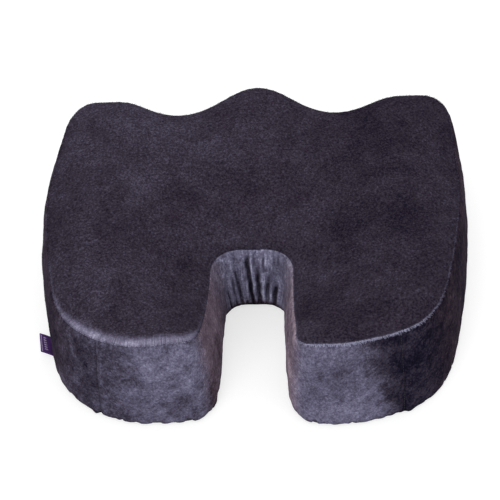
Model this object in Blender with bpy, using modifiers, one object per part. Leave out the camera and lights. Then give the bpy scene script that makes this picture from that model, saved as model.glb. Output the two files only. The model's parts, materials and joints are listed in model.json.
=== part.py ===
"""A foam seat cushion with a tailbone cut-out, in a zipped velour cover with a grip base.

Metres, +Z up. The origin is on the floor, under the middle of the base. The tailbone cut-out opens
towards -Y, the thigh side with its three lobes is towards +Y, and the label is on the -X side.
"""

import math

import bmesh
import bpy
import numpy as np
from mathutils import Matrix
from mathutils.geometry import interpolate_bezier

MM = 0.001

# Plan outline of the base. The cut-out's sizes are those at floor level.
WIDTH = 448 * MM
DEPTH = 370 * MM
CUT_LENGTH = 157 * MM
CUT_HALF = 33 * MM
CUT_MOUTH_HALF = 36.5 * MM
CUT_CORNER = 26 * MM
MOUTH_CORNER = 32 * MM
REAR_LOBE_X = 86 * MM
REAR_CORNER_X, REAR_CORNER_Y = 165 * MM, -160 * MM
HIP_X, HIP_Y = 201 * MM, -98 * MM
WIDEST_Y = 46 * MM
FRONT_SIDE_X, FRONT_SIDE_Y = 213 * MM, 142 * MM
FRONT_LOBE_FROM_X, FRONT_LOBE_TO_X, FRONT_LOBE_SETBACK = 174 * MM, 149 * MM, 4 * MM
VALLEY_X, VALLEY_DEPTH = 81 * MM, 26 * MM

# Section. The walls lean in by DRAFT for each metre of height.
TOP_Z = 100 * MM
DRAFT = 0.09
FABRIC = 2.0 * MM
LINER = 0.8 * MM
COVER_GAP = 1.6 * MM
FOAM_GAP = 0.5 * MM
TOP_LINER_GAP = 0.6 * MM
SEAM_GAP = 2.0 * MM
TOP_SEAM_GAP = 3.0 * MM
THREAD_R = 0.45 * MM
FINE_THREAD_R = 0.35 * MM

# Zip across the base, closed with its slider at the -X end.
ZIP_Y = 116 * MM
ZIP_Z = 7.2 * MM
ZIP_HALF = 156 * MM
SLOT_HALF_X, SLOT_HALF_Y = 164 * MM, 7 * MM
TAPE_HALF_X, TAPE_WIDTH, TAPE = 172 * MM, 13.4 * MM, 0.6 * MM
CHAIN_GAP = 0.6 * MM
COIL_WIDTH, COIL_HEIGHT = 2.6 * MM, 1.6 * MM
CLEAR = 0.3 * MM
TROUGH_FLAT, TROUGH_RAMP = 15 * MM, 15 * MM
TROUGH_HALF_X, TROUGH_RAMP_X = 178 * MM, 16 * MM
INNER_TROUGH_RISE = 5.4 * MM
SLIDER_X = -149 * MM
SLIDER_LENGTH, SLIDER_WIDTH, SLIDER_PLATE = 13 * MM, 9.6 * MM, 0.9 * MM
PULL_DROP = 1.1 * MM
PULL_LENGTH, PULL_WIDTH, PULL_THICK = 25 * MM, 6.6 * MM, 1.2 * MM
BAIL_HALF, BAIL_R = 3.6 * MM, 0.45 * MM

# Label, a folded loop sewn into the base seam and bent up a little.
LABEL_Y = -86 * MM
LABEL_LENGTH, LABEL_REACH, LABEL_PLY = 27 * MM, 14 * MM, 0.4 * MM
LABEL_TILT = math.radians(36)

ELASTIC_WIDTH, ELASTIC_THICK = 8 * MM, 0.8 * MM

BAND_SEAM_X = 155 * MM
SAMPLES = 40
MAX_TURN, MAX_STEP = math.radians(13), 10 * MM
GRID_STEP = 23 * MM
CUT_LOW, CUT_HIGH = -20 * MM, 140 * MM

FRONT_Y, REAR_Y = DEPTH / 2, -DEPTH / 2
CUT_END_Y = REAR_Y + CUT_LENGTH
BASE_TOP = FABRIC
LINER_Z = BASE_TOP + 2.0 * MM
LINER_SHRINK = FABRIC + COVER_GAP
FOAM_SHRINK = LINER_SHRINK + LINER + FOAM_GAP
COIL_Z = ZIP_Z - TAPE / 2 - CLEAR - COIL_HEIGHT / 2
PLATE_Z = COIL_Z - COIL_HEIGHT / 2 - CLEAR - SLIDER_PLATE / 2
PULL_Z = PLATE_Z - SLIDER_PLATE / 2 - PULL_DROP


def start_scene():
    for obj in list(bpy.data.objects):
        bpy.data.objects.remove(obj)
    found = []
    for name in ("seat_cushion", "cutters"):
        collection = bpy.data.collections.new(name)
        bpy.context.scene.collection.children.link(collection)
        found.append(collection)
    return found


PARTS, CUTTERS = start_scene()


def material(name, color, roughness, metallic=0.0):
    made = bpy.data.materials.new(name)
    made.use_nodes = True
    shader = made.node_tree.nodes["Principled BSDF"]
    shader.inputs["Base Color"].default_value = (*color, 1.0)
    shader.inputs["Roughness"].default_value = roughness
    shader.inputs["Metallic"].default_value = metallic
    return made


VELOUR = material("charcoal_velour", (0.045, 0.040, 0.055), 0.9)
GRIP = material("grip_fabric", (0.015, 0.015, 0.017), 0.75)
KNIT = material("white_knit", (0.72, 0.71, 0.68), 0.9)
FOAM = material("memory_foam", (0.80, 0.76, 0.62), 0.85)
THREAD = material("dark_thread", (0.05, 0.045, 0.06), 0.7)
ZIP_NYLON = material("zip_nylon", (0.02, 0.02, 0.022), 0.5)
ZINC = material("black_zinc", (0.03, 0.03, 0.03), 0.35, 1.0)
LABEL = material("purple_label", (0.14, 0.03, 0.25), 0.6)
SATIN = material("white_satin", (0.85, 0.85, 0.84), 0.45)
ELASTIC = material("white_elastic", (0.78, 0.78, 0.76), 0.8)


# ---- The outline: knots joined by curves, then mirrored ----


def half_outline_knots():
    """(x, y, heading in degrees), from the cut-out's closed end round to the middle of the front."""
    return [
        (0.0, CUT_END_Y, 0),
        (CUT_HALF - CUT_CORNER, CUT_END_Y, 0),
        (CUT_HALF, CUT_END_Y - CUT_CORNER, -90),
        (CUT_MOUTH_HALF, REAR_Y + MOUTH_CORNER, -86),
        (CUT_MOUTH_HALF + MOUTH_CORNER, REAR_Y, 0),
        (REAR_LOBE_X, REAR_Y, 0),
        (REAR_CORNER_X, REAR_CORNER_Y, 42),
        (HIP_X, HIP_Y, 74),
        (WIDTH / 2, WIDEST_Y, 90),
        (FRONT_SIDE_X, FRONT_SIDE_Y, 99),
        (FRONT_LOBE_FROM_X, FRONT_Y - FRONT_LOBE_SETBACK, 180),
        (FRONT_LOBE_TO_X, FRONT_Y - FRONT_LOBE_SETBACK, 180),
        (VALLEY_X, FRONT_Y - VALLEY_DEPTH, 180),
        (0.0, FRONT_Y, 180),
    ]


def curve_between(a, b):
    """Points from knot a to knot b. Where both headings suit one circle, this is that circle's arc."""
    ends = [np.array(k[:2]) for k in (a, b)]
    ways = [np.array([math.cos(t), math.sin(t)]) for t in (math.radians(a[2]), math.radians(b[2]))]
    chord = np.linalg.norm(ends[1] - ends[0])
    turn = abs(math.radians(b[2] - a[2]))
    share = 0.4 if turn < 1e-6 else 4 / 3 * math.tan(turn / 4) / (2 * math.sin(turn / 2))
    reach = chord * share
    handles = [ends[0] + ways[0] * reach, ends[1] - ways[1] * reach]
    four = [(*p, 0.0) for p in (ends[0], handles[0], handles[1], ends[1])]
    return [tuple(p)[:2] for p in interpolate_bezier(*four, SAMPLES)]


def outline_curve():
    """The closed outline as dense points, their inward normals and the length up to each."""
    knots = half_outline_knots()
    half = [knots[0][:2]]
    for a, b in zip(knots, knots[1:]):
        half += curve_between(a, b)[1:]
    half = np.array(half)
    other = half[::-1][1:] * (-1, 1)
    points = np.concatenate([half, other])
    ahead = np.gradient(points, axis=0)
    ahead[0] = ahead[-1] = (1.0, 0.0)
    ahead /= np.linalg.norm(ahead, axis=1)[:, None]
    inward = np.stack([-ahead[:, 1], ahead[:, 0]], axis=1)
    steps = np.linalg.norm(np.diff(points, axis=0), axis=1)
    return points, inward, np.concatenate([[0.0], np.cumsum(steps)])


POINTS, INWARD, LENGTHS = outline_curve()
PERIMETER = LENGTHS[-1]


def at(s, shrink, z):
    """The wall's point at length s along the outline and height z, shrink inside the outer face."""
    inset = shrink + DRAFT * z
    x, y, nx, ny = (np.interp(s, LENGTHS, row) for row in (*POINTS.T, *INWARD.T))
    return x + nx * inset, y + ny * inset


def stations(start=0.0, end=PERIMETER):
    """Lengths along the outline, closer together where it turns."""
    found, turned, last = [start], 0.0, start
    for i in range(1, len(POINTS)):
        cross = INWARD[i - 1][0] * INWARD[i][1] - INWARD[i - 1][1] * INWARD[i][0]
        if not start < LENGTHS[i] < end:
            continue
        turned += abs(math.asin(max(-1.0, min(1.0, cross))))
        if turned > MAX_TURN or LENGTHS[i] - last > MAX_STEP:
            found.append(LENGTHS[i])
            turned, last = 0.0, LENGTHS[i]
    if end - found[-1] < 2 * MM:
        found.pop()
    return found + [end]


def length_at(x, y):
    """The length along the outline at its point nearest (x, y)."""
    return LENGTHS[np.hypot(*(POINTS - (x, y)).T).argmin()]


# ---- The top's shape ----


def bump(x, y, centre_x, centre_y, spread_x, spread_y):
    return math.exp(-(((abs(x) - centre_x) / spread_x) ** 2) - ((y - centre_y) / spread_y) ** 2)


def smooth_top(x, y):
    """Height of the seat: a tailbone dip, a front rise between two leg channels, and full rear lobes."""
    return (
        TOP_Z
        - 32 * MM * bump(x, y, 0, -75 * MM, 80 * MM, 110 * MM)
        + 10 * MM * bump(x, y, 0, 165 * MM, 48 * MM, 55 * MM)
        - 3 * MM * bump(x, y, VALLEY_X, 175 * MM, 40 * MM, 95 * MM)
        + 6 * MM * bump(x, y, 105 * MM, -170 * MM, 75 * MM, 60 * MM)
        - 11 * MM * bump(x, y, 230 * MM, 75 * MM, 60 * MM, 85 * MM)
    )


def grid_lines():
    return [
        np.arange(-cells, cells + 1) * GRID_STEP
        for cells in (math.ceil(WIDTH / 2 / GRID_STEP), math.ceil(DEPTH / 2 / GRID_STEP))
    ]


def top_height(x, y):
    """smooth_top as the triangulated grid has it, so that pieces meeting the top fit its facets."""
    xs, ys = grid_lines()
    i = min(max(int((x - xs[0]) / GRID_STEP), 0), len(xs) - 2)
    j = min(max(int((y - ys[0]) / GRID_STEP), 0), len(ys) - 2)
    u, v = (x - xs[i]) / GRID_STEP, (y - ys[j]) / GRID_STEP
    corner = {(a, b): smooth_top(xs[i + a], ys[j + b]) for a in (0, 1) for b in (0, 1)}
    if u > v:
        rise = (corner[1, 0] - corner[0, 0]) * u + (corner[1, 1] - corner[1, 0]) * v
    else:
        rise = (corner[1, 1] - corner[0, 1]) * u + (corner[0, 1] - corner[0, 0]) * v
    return corner[0, 0] + rise


def trough(x, y, rise):
    """How far a base layer is pressed up over the zip: rise in the middle, ramping down to 0."""
    along = (TROUGH_HALF_X + TROUGH_RAMP_X - abs(x)) / TROUGH_RAMP_X
    across = (TROUGH_FLAT + TROUGH_RAMP - abs(y - ZIP_Y)) / TROUGH_RAMP
    return rise * min(max(along, 0.0), 1.0) * min(max(across, 0.0), 1.0)


# ---- Mesh helpers ----


def add(name, data, finish, collection=PARTS):
    obj = bpy.data.objects.new(name, data)
    collection.objects.link(obj)
    if finish:
        data.materials.append(finish)
    if collection is CUTTERS:
        obj.hide_render = True
        obj.display_type = "WIRE"
    return obj


def mesh_from(name, bm):
    """A mesh with its faces pointing out, shaded smooth except across sharp edges."""
    bmesh.ops.recalc_face_normals(bm, faces=bm.faces)
    mesh = bpy.data.meshes.new(name)
    bm.to_mesh(mesh)
    bm.free()
    mesh.shade_smooth()
    mesh.set_sharp_from_angle(angle=math.radians(35))
    return mesh


def mesh_object(name, bm, finish=None, collection=PARTS):
    return add(name, mesh_from(name, bm), finish, collection)


def boolean(obj, operation, other):
    modifier = obj.modifiers.new(f"{operation.lower()}_{other.name}", "BOOLEAN")
    modifier.operation = operation
    modifier.object = other
    modifier.solver = "EXACT"


def grid(bm, xs, ys, height):
    """A triangulated grid on these lines, lifted to height(x, y)."""
    made = bmesh.ops.create_grid(bm, x_segments=len(xs) - 1, y_segments=len(ys) - 1, size=1.0)
    for vert in made["verts"]:
        i = round((vert.co.x + 1) / 2 * (len(xs) - 1))
        j = round((vert.co.y + 1) / 2 * (len(ys) - 1))
        vert.co = (xs[i], ys[j], height(xs[i], ys[j]))
    faces = bmesh.ops.triangulate(bm, faces=bm.faces, quad_method="FIXED")["faces"]
    return faces


def sheet(name, xs, ys, height, thickness, finish=None, collection=PARTS):
    """A sheet of even thickness whose upper face is at height(x, y)."""
    bm = bmesh.new()
    faces = grid(bm, xs, ys, height)
    made = bmesh.ops.extrude_face_region(bm, geom=faces, use_keep_orig=True)["geom"]
    lower = [v for v in made if isinstance(v, bmesh.types.BMVert)]
    bmesh.ops.translate(bm, verts=lower, vec=(0, 0, -thickness))
    return mesh_object(name, bm, finish, collection)


def block(name, height, floor_z, finish=None, collection=PARTS):
    """A solid from the flat floor_z up to height(x, y), over the whole grid."""
    bm = bmesh.new()
    grid(bm, *grid_lines(), height)
    rim = [e for e in bm.edges if e.is_boundary]
    made = bmesh.ops.extrude_edge_only(bm, edges=rim)["geom"]
    lower = [e for e in made if isinstance(e, bmesh.types.BMEdge) and e.is_boundary]
    for vert in {v for e in lower for v in e.verts}:
        vert.co.z = floor_z
    bmesh.ops.contextual_create(bm, geom=lower)
    return mesh_object(name, bm, finish, collection)


def wall_cutter(name, shrink):
    """A prism with the cushion's leaning wall, shrink inside its outer face."""
    bm = bmesh.new()
    rings = []
    for z in (CUT_LOW, CUT_HIGH):
        verts = [bm.verts.new((*at(s, shrink, z), z)) for s in stations()[:-1]]
        rings.append(bm.faces.new(verts))
    edges = [e for face in rings for e in face.edges]
    bmesh.ops.bridge_loops(bm, edges=edges)
    return mesh_object(name, bm, collection=CUTTERS)


def ribbon(name, start, end, low, high, shrink, thickness, finish, mirrored=False):
    """A strip of wall between two lengths along the outline, from low to high(x, y), made thick inwards."""
    bm = bmesh.new()
    foot, head = [], []
    for s in stations(start, end):
        foot.append(bm.verts.new((*at(s, shrink, low), low)))
        z = high(*at(s, shrink, TOP_Z))
        head.append(bm.verts.new((*at(s, shrink, z), z)))
    edges = [bm.edges.new(pair) for row in (foot, head) for pair in zip(row, row[1:])]
    bmesh.ops.bridge_loops(bm, edges=edges)
    obj = mesh_object(name, bm, finish)
    if mirrored:
        mirror = obj.modifiers.new("left_half", "MIRROR")
        mirror.merge_threshold = 0.01 * MM
    face = obj.data.polygons[0]
    s = length_at(face.center.x, face.center.y)
    inward = np.subtract(at(s, 10 * MM, low), at(s, 0.0, low))
    faces_out = face.normal.x * inward[0] + face.normal.y * inward[1] < 0
    solidify = obj.modifiers.new("thickness", "SOLIDIFY")
    solidify.thickness = thickness
    solidify.offset = -1.0 if faces_out else 1.0


def tube(name, points, radius, finish, cyclic=False, collection=PARTS):
    curve = bpy.data.curves.new(name, "CURVE")
    curve.dimensions = "3D"
    curve.bevel_depth = radius
    curve.bevel_resolution = 0
    curve.use_fill_caps = not cyclic
    spline = curve.splines.new("POLY")
    spline.points.add(len(points) - 1)
    for point, place in zip(spline.points, points):
        point.co = (*place, 1.0)
    spline.use_cyclic_u = cyclic
    return add(name, curve, finish, collection)


def as_mesh(obj):
    """Replaces a curve object by its mesh, with the caps welded on, so that a Boolean can use it."""
    bpy.context.view_layer.update()
    graph = bpy.context.evaluated_depsgraph_get()
    bm = bmesh.new()
    bm.from_mesh(bpy.data.meshes.new_from_object(obj.evaluated_get(graph)))
    bmesh.ops.remove_doubles(bm, verts=bm.verts, dist=0.001 * MM)
    name, place, collection = obj.name, obj.matrix_world.copy(), obj.users_collection[0]
    bpy.data.objects.remove(obj)
    made = add(name, mesh_from(name, bm), None, collection)
    made.matrix_world = place
    return made


def box(name, size, place, finish=None, collection=PARTS, upright_bevel=0.0, bevel=0.0):
    """A box centred on place, with its upright edges or all its edges rounded."""
    bm = bmesh.new()
    bmesh.ops.create_cube(bm, size=1.0)
    bmesh.ops.scale(bm, verts=bm.verts, vec=size)
    if upright_bevel:
        upright = [e for e in bm.edges if abs(e.verts[0].co.z - e.verts[1].co.z) > size[2] / 2]
        bmesh.ops.bevel(bm, geom=upright, offset=upright_bevel, segments=3, affect="EDGES", profile=0.5)
    if bevel:
        bmesh.ops.bevel(bm, geom=bm.edges[:], offset=bevel, segments=1, affect="EDGES", profile=0.5)
    obj = mesh_object(name, bm, finish, collection)
    obj.location = place
    return obj


def flat_piece(name, loops, thickness, finish):
    """A flat plate from closed loops of (x, y). The first is its edge and the others are holes."""
    curve = bpy.data.curves.new(name, "CURVE")
    curve.dimensions = "2D"
    curve.fill_mode = "BOTH"
    curve.extrude = thickness / 2
    for loop in loops:
        spline = curve.splines.new("POLY")
        spline.points.add(len(loop) - 1)
        for point, (x, y) in zip(spline.points, loop):
            point.co = (x, y, 0.0, 1.0)
        spline.use_cyclic_u = True
    return add(name, curve, finish)


def rounded_box_loop(x0, x1, half_y, radius, steps=4):
    """A rectangle with round corners, as points."""
    loop = []
    corners = [(x1, half_y, 0), (x0, half_y, 90), (x0, -half_y, 180), (x1, -half_y, 270)]
    for x, y, first in corners:
        centre = (x - math.copysign(radius, x - (x0 + x1) / 2), y - math.copysign(radius, y))
        for k in range(steps + 1):
            t = math.radians(first + 90 * k / steps)
            loop.append((centre[0] + radius * math.cos(t), centre[1] + radius * math.sin(t)))
    return loop


# ---- Foam core and its knitted liner ----


def foam_core():
    """The foam block, hollowed a little under the zip."""

    def upper(x, y):
        return top_height(x, y) - FABRIC - TOP_LINER_GAP - LINER - FOAM_GAP - 0.1 * MM

    base_z = LINER_Z + LINER + FOAM_GAP + 0.1 * MM
    core = block("foam_core", upper, base_z, FOAM)
    boolean(core, "INTERSECT", wall_cutter("foam_wall", FOAM_SHRINK))
    rise, below = INNER_TROUGH_RISE, 10 * MM
    bm = bmesh.new()
    made = bmesh.ops.create_cube(bm, size=1.0)
    slope_x, slope_y = TROUGH_RAMP_X / rise, TROUGH_RAMP / rise
    for vert in made["verts"]:
        spread = 0.0 if vert.co.z > 0 else rise + below
        half_x, half_y = TROUGH_HALF_X + 1 * MM + spread * slope_x, TROUGH_FLAT + 1 * MM + spread * slope_y
        vert.co.x = math.copysign(half_x, vert.co.x)
        vert.co.y = ZIP_Y + math.copysign(half_y, vert.co.y)
        vert.co.z = base_z + rise if vert.co.z > 0 else base_z - below
    boolean(core, "DIFFERENCE", mesh_object("zip_relief", bm, collection=CUTTERS))


def liner():
    def outer(x, y):
        return top_height(x, y) - FABRIC - TOP_LINER_GAP

    skirt_z = LINER_Z + LINER + 1.4 * MM
    top = block("liner_top", outer, skirt_z, KNIT)
    boolean(top, "INTERSECT", wall_cutter("liner_wall", LINER_SHRINK))
    hollow = block("liner_hollow", lambda x, y: outer(x, y) - LINER, CUT_LOW, collection=CUTTERS)
    boolean(hollow, "INTERSECT", wall_cutter("liner_inside", LINER_SHRINK + LINER))
    boolean(top, "DIFFERENCE", hollow)

    xs, ys = base_lines()

    def base_upper(x, y):
        return LINER_Z + LINER + trough(x, y, INNER_TROUGH_RISE)

    base = sheet("liner_base", xs, ys, base_upper, LINER, KNIT)
    boolean(base, "INTERSECT", bpy.data.objects["liner_wall"])
    z = LINER_Z + LINER + 0.7 * MM
    loop = [(*at(s, LINER_SHRINK + LINER / 2, z), z) for s in stations()[:-1]]
    tube("liner_seam_thread", loop, FINE_THREAD_R * 0.9, SATIN, cyclic=True)


# ---- Cover: top panel, two bands and a two-part grip base ----


def base_lines():
    """Grid lines for a base layer, at the outline's reach and at the trough's bends."""
    xs = [-WIDTH / 2 - GRID_STEP, -TROUGH_HALF_X - TROUGH_RAMP_X, -TROUGH_HALF_X]
    offsets = [-TROUGH_FLAT - TROUGH_RAMP, -TROUGH_FLAT, TROUGH_FLAT, TROUGH_FLAT + TROUGH_RAMP]
    ys = [REAR_Y - GRID_STEP, *(ZIP_Y + d for d in offsets), FRONT_Y + GRID_STEP]
    return xs + [-x for x in reversed(xs)], ys


def cover_panels():
    outer_wall = wall_cutter("cover_wall", 0.0)
    top = sheet("cover_top_panel", *grid_lines(), top_height, FABRIC, VELOUR)
    boolean(top, "INTERSECT", outer_wall)

    low = BASE_TOP + SEAM_GAP
    right = length_at(BAND_SEAM_X, REAR_Y)
    left = length_at(-BAND_SEAM_X, REAR_Y)
    half_gap = SEAM_GAP / 2

    def high(x, y):
        return top_height(x, y) - FABRIC - TOP_SEAM_GAP

    ribbon("cover_front_band", right + half_gap, left - half_gap, low, high, 0.0, FABRIC, VELOUR)
    ribbon("cover_rear_band", 0.0, right - half_gap, low, high, 0.0, FABRIC, VELOUR, mirrored=True)

    for name, s in (("right_band_seam_thread", right), ("left_band_seam_thread", left)):
        ends = []
        for z in (low + 1 * MM, high(*at(s, FABRIC / 2, TOP_Z)) - 1 * MM):
            ends.append((*at(s, FABRIC / 2, z), z))
        tube(name, ends, THREAD_R, THREAD)

    top_seam, base_seam = [], []
    for s in stations()[:-1]:
        z = top_height(*at(s, FABRIC / 2, TOP_Z)) - FABRIC - TOP_SEAM_GAP / 2
        top_seam.append((*at(s, FABRIC / 2, z), z))
        z = BASE_TOP + SEAM_GAP / 2
        base_seam.append((*at(s, FABRIC / 2, z), z))
    tube("top_seam_thread", top_seam, THREAD_R, THREAD, cyclic=True)
    tube("base_seam_thread", base_seam, THREAD_R, THREAD, cyclic=True)
    base_panels(outer_wall)


def base_panels(outer_wall):
    xs, ys = base_lines()
    slot = box(
        "zip_slot",
        (2 * SLOT_HALF_X, 2 * SLOT_HALF_Y, 40 * MM),
        (0, ZIP_Y, 0),
        collection=CUTTERS,
        upright_bevel=2 * MM,
    )
    seam = SEAM_GAP / 2
    rise = ZIP_Z - TAPE / 2 - 1.3 * MM - BASE_TOP
    halves = {
        "base_rear_panel": [y for y in ys if y < ZIP_Y] + [ZIP_Y - seam],
        "base_front_panel": [ZIP_Y + seam] + [y for y in ys if y > ZIP_Y],
    }
    for name, lines in halves.items():
        panel = sheet(name, xs, lines, lambda x, y: BASE_TOP + trough(x, y, rise), FABRIC, GRIP)
        boolean(panel, "INTERSECT", outer_wall)
        boolean(panel, "DIFFERENCE", slot)


def cutout_elastic():
    """The elastic inside the lower edge of the cut-out's closed end, which gathers the band there."""
    low = BASE_TOP + SEAM_GAP + 2 * MM
    reach = CUT_HALF + CUT_CORNER / 3

    def high(x, y):
        return low + ELASTIC_WIDTH

    shrink = FABRIC + CLEAR
    ribbon("cutout_elastic", 0.0, reach, low, high, shrink, ELASTIC_THICK, ELASTIC, mirrored=True)


# ---- Zip ----


def zip_side(name, side):
    """One tape with its coil, its row of stitches and its top stop. side is 1 towards the front."""
    tape_y = ZIP_Y + side * (CHAIN_GAP + TAPE_WIDTH / 2)
    box(f"zip_tape_{name}", (2 * TAPE_HALF_X, TAPE_WIDTH, TAPE), (0, tape_y, ZIP_Z), ZIP_NYLON)

    coil_y = ZIP_Y + side * (CHAIN_GAP + COIL_WIDTH / 2)
    bm = bmesh.new()
    bmesh.ops.create_cone(
        bm, cap_ends=True, segments=10, radius1=0.5, radius2=0.5, depth=2 * ZIP_HALF
    )
    bmesh.ops.scale(bm, verts=bm.verts, vec=(COIL_HEIGHT, COIL_WIDTH, 1.0))
    coil = mesh_object(f"zip_coil_{name}", bm, ZIP_NYLON)
    coil.location = (0, coil_y, COIL_Z)
    coil.rotation_euler = (0, math.radians(90), 0)

    stitch_y = ZIP_Y + side * (SLOT_HALF_Y + 2.5 * MM)
    stitch_z = ZIP_Z - TAPE / 2 - 0.65 * MM
    ends = [(x, stitch_y, stitch_z) for x in (-SLOT_HALF_X, SLOT_HALF_X)]
    tube(f"zip_stitch_{name}", ends, FINE_THREAD_R * 0.9, THREAD)

    stop_size = (3.2 * MM, COIL_WIDTH, COIL_HEIGHT)
    stop_x = -ZIP_HALF - 0.4 * MM - stop_size[0] / 2
    box(f"zip_top_stop_{name}", stop_size, (stop_x, coil_y, COIL_Z), ZIP_NYLON, bevel=0.3 * MM)


def zip_ends():
    stop_size = (3.6 * MM, 2 * (CHAIN_GAP + COIL_WIDTH), COIL_HEIGHT)
    stop_x = ZIP_HALF + 0.4 * MM + stop_size[0] / 2
    box("zip_bottom_stop", stop_size, (stop_x, ZIP_Y, COIL_Z), ZIP_NYLON, bevel=0.3 * MM)
    for name, side in (("left", -1), ("right", 1)):
        place = (side * (SLOT_HALF_X - 1.8 * MM), ZIP_Y, ZIP_Z - TAPE / 2 - 1.0 * MM)
        box(f"zip_end_tack_{name}", (1.6 * MM, 11 * MM, 1.2 * MM), place, THREAD, bevel=0.3 * MM)


def zip_slider():
    """Two plates round the chain, the bridge between them, side flanges, and the bail for the pull."""
    size = (SLIDER_LENGTH, SLIDER_WIDTH, SLIDER_PLATE)
    slider = box("zip_slider", size, (SLIDER_X, ZIP_Y, PLATE_Z), ZINC, upright_bevel=3 * MM)
    inner_z = ZIP_Z + TAPE / 2 + CLEAR + SLIDER_PLATE / 2
    overlap = 0.2 * MM
    bridge_low, bridge_high = PLATE_Z, inner_z
    pieces = [
        box("inner_plate", size, (SLIDER_X, ZIP_Y, inner_z), collection=CUTTERS, upright_bevel=3 * MM),
        box(
            "slider_bridge",
            (3.4 * MM, 2 * CHAIN_GAP - 2 * CLEAR, bridge_high - bridge_low),
            (SLIDER_X - SLIDER_LENGTH / 4, ZIP_Y, (bridge_low + bridge_high) / 2),
            collection=CUTTERS,
        ),
    ]
    flange_top = ZIP_Z - TAPE / 2 - CLEAR
    flange_low = PLATE_Z + SLIDER_PLATE / 2 - overlap
    for side in (-1, 1):
        place_y = ZIP_Y + side * (SLIDER_WIDTH / 2 - 0.45 * MM)
        height = flange_top - flange_low
        place = (SLIDER_X, place_y, flange_low + height / 2)
        name = "front_flange" if side > 0 else "rear_flange"
        pieces.append(box(name, (SLIDER_LENGTH / 2, 0.8 * MM, height), place, collection=CUTTERS))
    foot = PLATE_Z
    drop = PULL_Z - PULL_DROP - BAIL_R
    arch = [
        (SLIDER_X - BAIL_HALF, ZIP_Y, foot),
        (SLIDER_X - BAIL_HALF, ZIP_Y, PULL_Z),
        (SLIDER_X - BAIL_HALF * 0.6, ZIP_Y, drop),
        (SLIDER_X + BAIL_HALF * 0.6, ZIP_Y, drop),
        (SLIDER_X + BAIL_HALF, ZIP_Y, PULL_Z),
        (SLIDER_X + BAIL_HALF, ZIP_Y, foot),
    ]
    pieces.append(as_mesh(tube("slider_bail", arch, BAIL_R, None, collection=CUTTERS)))
    for piece in pieces:
        boolean(slider, "UNION", piece)


def zip_pull():
    """A flat tab whose end bar lies under the bail, on the pull's joint axis."""
    bar = 0.7 * MM
    edge = rounded_box_loop(-bar, PULL_LENGTH, PULL_WIDTH / 2, 0.6 * MM)
    bail_hole = rounded_box_loop(bar, 6.4 * MM, 2.0 * MM, 0.5 * MM)
    grip_hole = rounded_box_loop(16 * MM, 22 * MM, 1.6 * MM, 1.5 * MM)
    pull = flat_piece("zip_pull", [edge, bail_hole[::-1], grip_hole[::-1]], PULL_THICK, ZINC)
    pull.location = (SLIDER_X, ZIP_Y, PULL_Z)


# ---- Labels ----


def label():
    """A ribbon folded double. Its object's origin is on the joint axis, along the base seam."""
    s = length_at(-HIP_X, LABEL_Y)
    z = BASE_TOP + SEAM_GAP / 2
    out_x, out_y = np.subtract(at(s, 0.0, z), at(s, 10 * MM, z))
    heading = math.atan2(out_y, out_x)
    root = at(s, -1.5 * MM, z)
    half_fold = LABEL_PLY
    profile = [(0.4 * MM, half_fold), (LABEL_REACH - half_fold, half_fold)]
    for k in range(1, 6):
        t = math.radians(90 - 30 * k)
        profile.append((LABEL_REACH - half_fold + half_fold * math.cos(t), half_fold * math.sin(t)))
    profile += [(LABEL_REACH - half_fold, -half_fold), (0.4 * MM, -half_fold)]
    bm = bmesh.new()
    verts = [bm.verts.new((x, -LABEL_LENGTH / 2, h)) for x, h in profile]
    edges = [bm.edges.new(pair) for pair in zip(verts, verts[1:])]
    made = bmesh.ops.extrude_edge_only(bm, edges=edges)["geom"]
    moved = [v for v in made if isinstance(v, bmesh.types.BMVert)]
    bmesh.ops.translate(bm, verts=moved, vec=(0, LABEL_LENGTH, 0))
    obj = mesh_object("label", bm, LABEL)
    solidify = obj.modifiers.new("thickness", "SOLIDIFY")
    solidify.thickness = LABEL_PLY
    solidify.offset = 0.0
    turn = Matrix.Rotation(heading, 4, "Z") @ Matrix.Rotation(-LABEL_TILT, 4, "Y")
    obj.matrix_world = Matrix.Translation((*root, z)) @ turn


def care_label():
    """A satin strip inside the cover, over the rear base panel beside the zip."""
    place = (-110 * MM, ZIP_Y - 52 * MM, BASE_TOP + 0.9 * MM)
    box("care_label", (24 * MM, 40 * MM, 0.4 * MM), place, SATIN)


foam_core()
liner()
cover_panels()
cutout_elastic()
zip_side("front", 1)
zip_side("rear", -1)
zip_ends()
zip_slider()
zip_pull()
label()
care_label()
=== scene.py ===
"""Looks for the foam seat cushion: its sewn velour cover, zip, label and grip base.

Metres, in the CAD frame: +Z up, the tailbone cut-out opens towards -Y. Places and sizes come from the
frame. s is the length round the cover, anticlockwise seen from above, from the cut-out's closed end, so
it is negative on the cushion's left. t is the share of the way up a band, and depth is the distance in
from the outline.
"""

import json
import math
import random

import bmesh
import bpy
import numpy as np
from mathutils import Matrix, Vector, noise
from mathutils.bvhtree import BVHTree
from mathutils.geometry import delaunay_2d_cdt
from mathutils.kdtree import KDTree


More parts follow.
